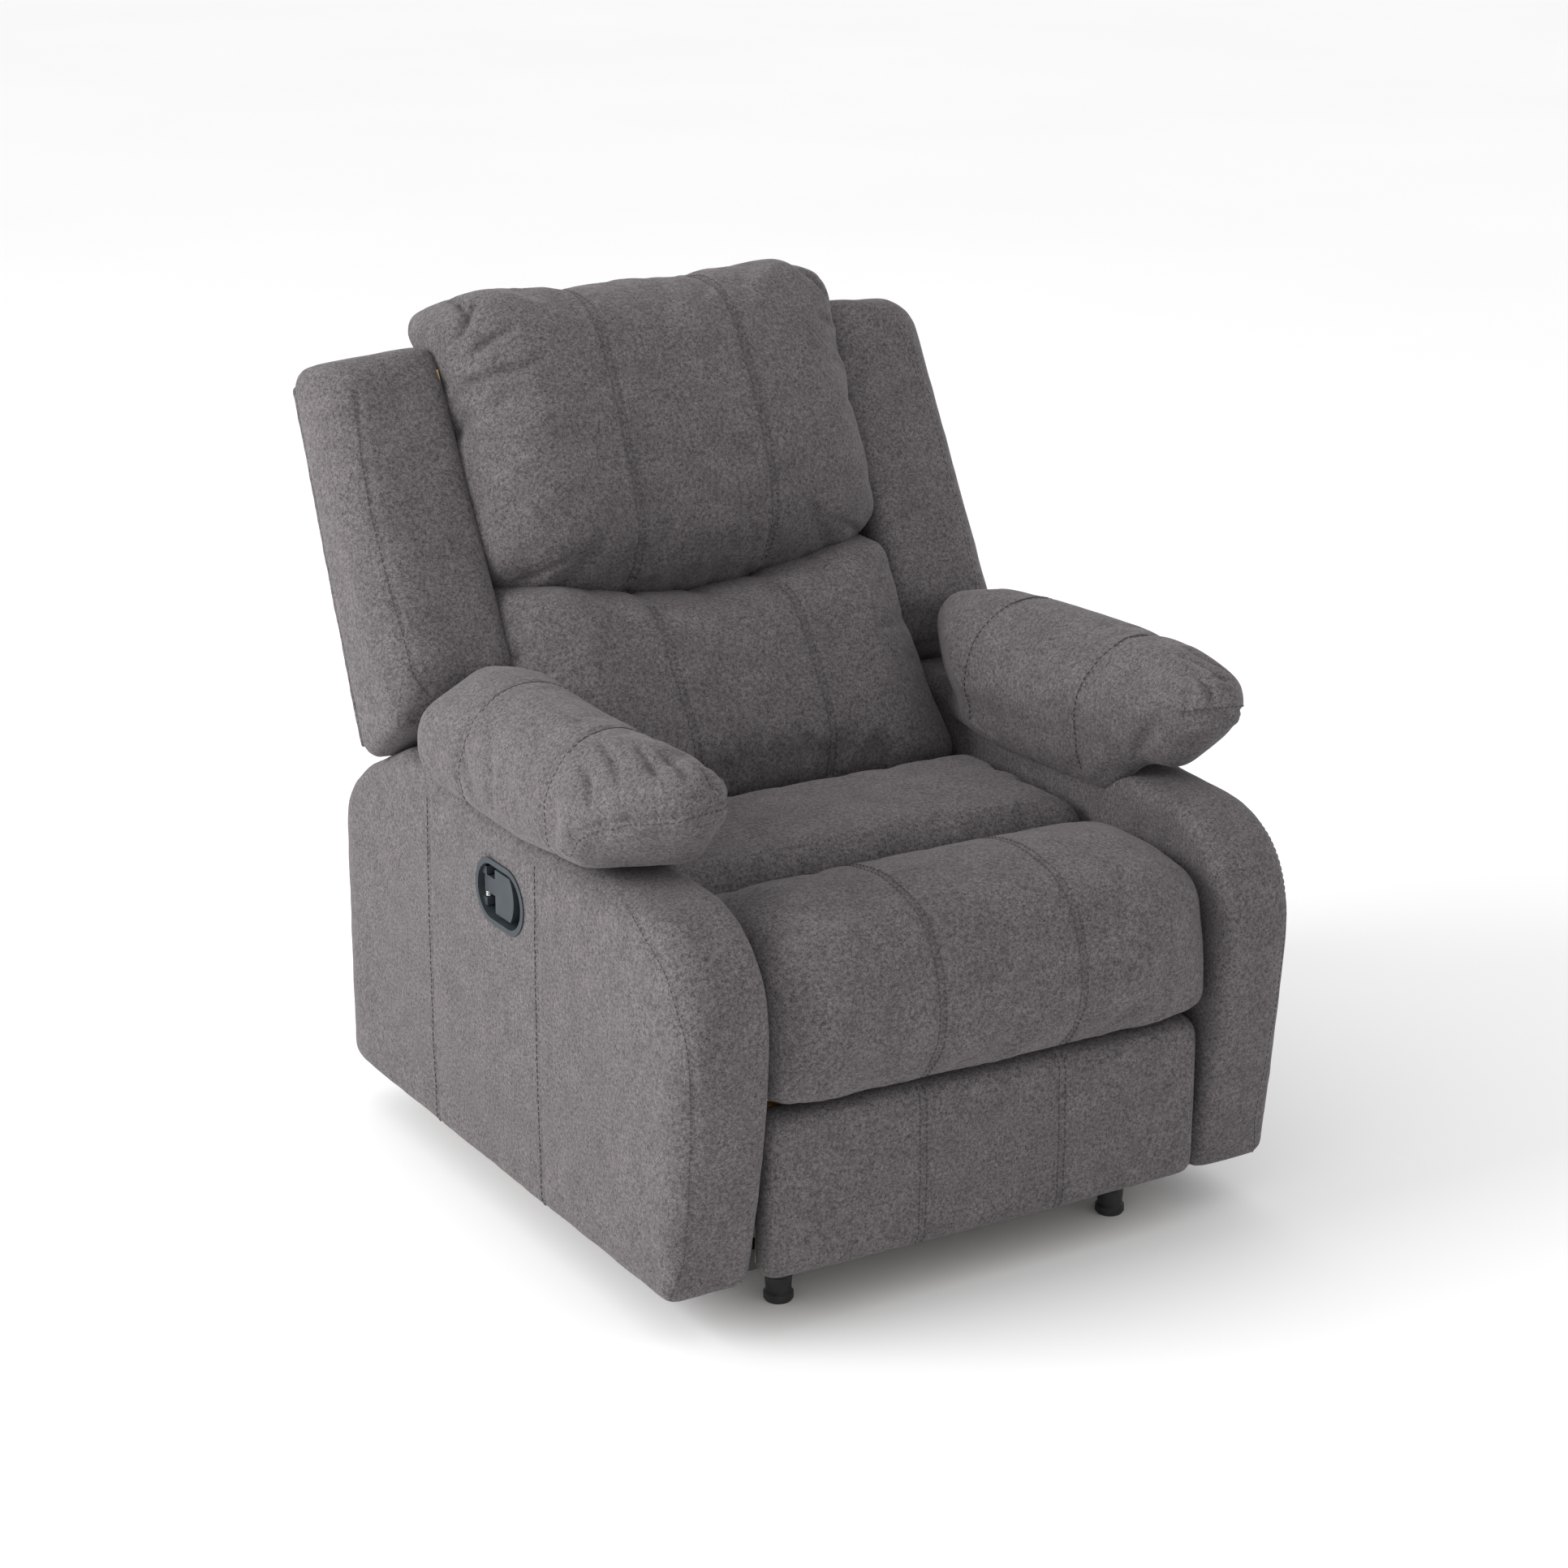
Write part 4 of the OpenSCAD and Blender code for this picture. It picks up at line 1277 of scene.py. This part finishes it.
@dataclass
class Arm:
    """One arm: upholstered body and overstuffed pad.

    Attributes:
        side: Which side it is on.
        inner: Inner face, from the middle.
        outer: Outer face, from the middle.
        soft: Radius of the cover's edges.
    """

    side: Side
    inner: float = 294.0
    outer: float = 401.0
    soft: float = 42.0

    def outline(self) -> list[tuple[float, float]]:
        """Side view of the arm, as (y, z) from the front foot over the top to the rear foot.

        Returns:
            The points in order.
        """
        rise = (0.0, 0.15, 0.3, 0.5, 0.7, 0.85, 1.0)
        belly = [(-50 * math.sin(math.pi / 2 * t), 57 + 314 * t) for t in rise]
        nose = self.arc(75, 371, 125, range(170, 80, -10))
        shoulder = self.arc(640, 270, 220, (73, 60, 48, 37, 28))
        return belly + nose + [(560, 505), (640, 512)] + shoulder + [(838, 360), (838, 57)]

    @staticmethod
    def arc(y: float, z: float, r: float, angles: Iterable[float]) -> list[tuple[float, float]]:
        """Points on an arc.

        Args:
            y: Its centre, behind the front plane.
            z: Its centre, above the floor.
            r: Its radius.
            angles: Where the points lie, in degrees.

        Returns:
            The points, as (y, z).
        """
        return [(y + r * math.cos(math.radians(a)), z + r * math.sin(math.radians(a))) for a in angles]

    def x(self, value: float) -> float:
        """A distance from the middle, on this arm's side."""
        return value * self.side.value

    def frame_cover(self) -> Cover:
        """The upholstered body of the arm.

        Returns:
            The cover.
        """
        points = self.outline()
        balls = []
        for y, z in points:
            firm = 15.0 if z < 70 or y > 500 else self.soft
            for x, r in ((self.inner + 16, 16.0), (self.outer - firm, firm)):
                at = self.inset(points, (y, z), r)
                balls.append(Ball(chair(self.x(x), at[0], at[1]), r * MM))
        s = self.side.value
        out = Vector((-s, 0, 0))
        creases = []
        for y in (563, 287):
            creases.append(Crease(trace(chair, (s * 440, y, 470), (s * 440, y, 64)), out, 1.8, 5.0, WIDE_ROW))
        corner = [(72, 486), (3, 449), (-30, 405), (-45, 369), (-48, 310), (-44, 249), (-30, 136), (-3, 64)]
        guide = tuple(chair(s * 397, y, z) for y, z in corner)
        creases.append(Crease(guide, Vector((-s, 0.9, -0.5)), 1.6, 4.0, SINGLE_ROW))
        return Cover(
            f"arm_{self.side.name.lower()}_cover", Body.BASE, (f"arm_cover_{self.side.name.lower()}",),
            [balls], fill=0.5, voxel=7.0, rounds=3, creases=creases, ripple=0.8, reshape=self.shape_body,
        )

    @staticmethod
    def inset(points: list[tuple[float, float]], point: tuple[float, float], r: float) -> tuple[float, float]:
        """Move an outline point inwards so that a ball there touches the outline.

        Args:
            points: The outline.
            point: One of its points.
            r: The ball's radius.

        Returns:
            The moved point.
        """
        i = points.index(point)
        before, after = np.array(points[i - 1]), np.array(points[(i + 1) % len(points)])
        here = np.array(point)
        a, b = here - before, after - here
        a, b = a / np.linalg.norm(a), b / np.linalg.norm(b)
        na, nb = np.array([a[1], -a[0]]), np.array([b[1], -b[0]])
        joint = na + nb
        joint *= r / max(np.dot(joint, na), 0.3)
        return float(here[0] + joint[0]), float(here[1] + joint[1])

    def shape_body(self, rows: np.ndarray) -> np.ndarray:
        """Crown the outer side, round its rear corner and open it behind the pull handle.

        Args:
            rows: Places of its points, in metres.

        Returns:
            The changed places.
        """
        s = self.side.value
        y = (rows[:, 1] - HINGE.y) / MM + HINGE_BEHIND_ARM_FRONT
        z = rows[:, 2] / MM
        x = rows[:, 0] * s / MM
        outer = np.clip((x - 385) / 12, 0, 1)
        crown = np.clip(1 - ((y - 400) / 440) ** 2, 0, 1) * np.clip(1 - ((z - 270) / 230) ** 2, 0, 1)
        x += outer * crown * 3.0
        rear = np.clip((y - 780) / 60, 0, 1)
        x -= outer * rear**2 * 16.0
        if self.side is Side.RIGHT:
            dy = np.maximum(np.abs(y - HANDLE_Y) - HANDLE_FLAT, 0) * np.sign(y - HANDLE_Y)
            dz = z - HANDLE_Z
            away = np.hypot(dy, dz)
            face = x > 380
            unit_y, unit_z = dy / np.maximum(away, 1e-6), dz / np.maximum(away, 1e-6)
            rim = face & (away > 31) & (away < 42)
            goal = np.where(away < 36.5, 36.0, 37.2)
            y = np.where(rim, y + unit_y * (goal - away), y)
            z = np.where(rim, z + unit_z * (goal - away), z)
            x = np.where(face & (away < 36.5), x - 34, x)
            rows[:, 1] = HINGE.y + (y - HINGE_BEHIND_ARM_FRONT) * MM
            rows[:, 2] = z * MM
        rows[:, 0] = x * s * MM
        return rows

    def pad_cover(self) -> Cover:
        """The overstuffed pad, with cross seams, front cap and pleats.

        Returns:
            The cover.
        """
        s = self.side.value
        ridge = [(520, 532, 34), (534, 590, 38), (480, 594, 46)]
        ridge += [(300, 602, 49), (140, 609, 49), (68, 604, 46)]
        slope = [(520, 536, 34), (518, 566, 36), (460, 564, 46), (290, 566, 49), (164, 562, 46)]
        under = [(290 + 34, 100, 552, 32), (428 - 34, 166, 540, 32), (328, 300, 530, 34), (394, 300, 530, 34)]
        main = [Ball(chair(s * (290 + r), y, z), r * MM) for y, z, r in ridge]
        main += [Ball(chair(s * (429 - r), y, z), r * MM) for y, z, r in slope]
        belly = [(302, 442, 552, 42), (306, 478, 592, 40), (314, 300, 552, 44), (326, 180, 560, 40)]
        main += [Ball(chair(s * x, y, z), r * MM) for x, y, z, r in [*under, *belly, (362, 104, 592, 44)]]
        hem = [(304, 196, 480), (292, 300, 484), (284, 400, 486), (284, 436, 490), (306, 524, 482)]
        rest = [(306, 500, 600), (306, 200, 610), (306, 130, 540)]
        drape = [Ball(chair(s * x, y, z), 15 * MM) for x, y, z in (*hem, *rest)]
        creases = []
        for y in (208, 420):
            outside = trace(chair, (s * 440, y + 10, 510), (s * 436, y + 6, 580), (s * 405, y, 700))
            top = trace(chair, (s * 400, y, 720), (s * 361, y, 730), (s * 320, y, 715))
            inside = trace(chair, (s * 300, y, 690), (s * 262, y + 4, 600), (s * 262, y + 10, 500))
            for guide, toward in (
                (outside, Vector((-s * 0.8, 0, -0.6))),
                (top, DOWN),
                (inside, Vector((s, 0, -0.45))),
            ):
                creases.append(Crease(guide, toward, 2.4, 6.0, WIDE_ROW))
        outer_cap = [(424, 172, 530), (421, 146, 562), (396, 110, 586), (362, 66, 600)]
        inner_cap = [(334, 30, 606), (304, 20, 598), (292, 50, 560)]
        guide = tuple(chair(s * x, y, z) for x, y, z in (*outer_cap, *inner_cap))
        creases.append(Crease(guide, Vector((-s * 0.35, 1, 0.1)), 4.2, 5.0, WIDE_ROW))
        pleats = (
            ((414, 138, 574), (404, 176, 630)),
            ((392, 112, 600), (380, 176, 650)),
            ((366, 74, 618), (362, 122, 668)),
            ((346, 44, 624), (346, 98, 672)),
            ((322, 24, 620), (326, 72, 668)),
            ((302, 24, 612), (306, 62, 660)),
        )
        for start, end in pleats:
            middle = tuple((a + b) / 2 + lift for a, b, lift in zip(start, end, (0, -8, 8)))
            guide = tuple(chair(s * x, y, z) for x, y, z in (start, middle, end))
            creases.append(Crease(guide, Vector((-s * 0.25, 0.55, -1)), 8.0, 6.5, (), True))
        return Cover(
            f"arm_{self.side.name.lower()}_pad_cover", Body.BASE, (f"arm_pad_{self.side.name.lower()}",),
            [main, drape], fill=0.9, rounds=6, pressure=4.0, backing=DOWN, cap=14.0, creases=creases,
            reshape=self.keep_clear,
        )

    def keep_clear(self, rows: np.ndarray) -> np.ndarray:
        """Hold the pad clear of the cushions beside it and within the chair's width.

        Args:
            rows: Places of its points, in metres.

        Returns:
            The changed places.
        """
        s = self.side.value
        seat_top, beside_seat, over_seat, outermost = 0.474, 0.2895, 0.254, 0.4365
        low = np.where(rows[:, 2] < seat_top, beside_seat, over_seat)
        rows[:, 0] = np.clip(rows[:, 0] * s, low, outermost) * s
        return rows


@dataclass
class Studio:
    """Floor, light and camera.

    Attributes:
        camera_at: The camera's place in chair millimetres.
        turn: Its turn from straight ahead, in degrees.
        tilt: Its tilt below the horizon, in degrees.
        lens: Focal length for a 36 mm sensor.
    """

    camera_at: tuple[float, float, float] = (-2101.04, -3130.28, 1834.83)
    turn: float = -30.53
    tilt: float = 18.39
    lens: float = 84.41

    def build(self) -> None:
        """Set up the studio."""
        scene = bpy.context.scene
        scene.view_settings.view_transform = "Standard"
        camera = new_object("camera", bpy.data.cameras.new("camera"))
        camera.data.lens = self.lens
        camera.data.sensor_width = 36.0
        camera.location = chair(*self.camera_at)
        camera.rotation_euler = (math.radians(90 - self.tilt), 0, math.radians(self.turn))
        camera.data.clip_end = 60
        scene.camera = camera
        self.floor()
        self.sky()
        self.lamp("key", (-4.0, 0.7, 2.3), 2.4, 165.0)

    def floor(self) -> None:
        """Lay a plain pale floor."""
        shape = bmesh.new()
        bmesh.ops.create_grid(shape, x_segments=4, y_segments=4, size=20)
        mesh = bpy.data.meshes.new("floor")
        shape.to_mesh(mesh)
        shape.free()
        obj = new_object("floor", mesh)
        paint = Surface("matt_paint_pale")
        cloud = paint.node("ShaderNodeTexNoise", {"Scale": 0.8}, {"Vector": paint.place}).outputs[0]
        colour = paint.blend(cloud, "#fbfbfb", "#f6f6f6")
        mesh.materials.append(paint.close(colour, Roughness=0.95, Specular_IOR_Level=0.1))

    @staticmethod
    def sky() -> None:
        """Fill the room with even white light."""
        world = bpy.data.worlds.new("room")
        world.use_nodes = True
        world.node_tree.nodes.clear()
        light = add_node(world.node_tree, "ShaderNodeBackground", {"Color": (1, 1, 1, 1), "Strength": 1.0})
        add_node(world.node_tree, "ShaderNodeOutputWorld", links={"Surface": light.outputs[0]})
        bpy.context.scene.world = world

    @staticmethod
    def lamp(name: str, place: tuple[float, float, float], size: float, power: float) -> None:
        """Hang a soft square lamp that points at the chair.

        Args:
            name: The lamp's name.
            place: Where it hangs, in metres.
            size: Side of the square, in metres.
            power: Its power in watts.
        """
        light = bpy.data.lights.new(name, "AREA")
        light.size = size
        light.energy = power
        obj = new_object(name, light)
        obj.location = place
        obj.rotation_euler = (Vector((0, 0, 0.45)) - Vector(place)).to_track_quat("-Z", "Y").to_euler()


def write_sizes() -> None:
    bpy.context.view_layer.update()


def main() -> None:
    """Build every sub-assembly in order."""
    logging.basicConfig(level=logging.INFO, format="%(message)s", stream=sys.stdout)
    Studio().build()
    finishes = Finishes()
    finishes.dress_nodes()
    back, seat = Back(), Seat()
    covers = [back.head(), back.lumbar(), back.wing(Side.LEFT), back.wing(Side.RIGHT), back.panel()]
    covers += [seat.cushion(), seat.roll(), seat.apron(), Footrest().pad()]
    for side in Side:
        arm = Arm(side)
        covers += [arm.frame_cover(), arm.pad_cover()]
    for cover in covers:
        cover.build(finishes.fabric)
    for body in Body:
        rows = [row for cover in covers if cover.body is body for row in cover.rows]
        Stitching(body, rows).build(finishes.thread)
    write_sizes()


if __name__ == "__main__":
    main()
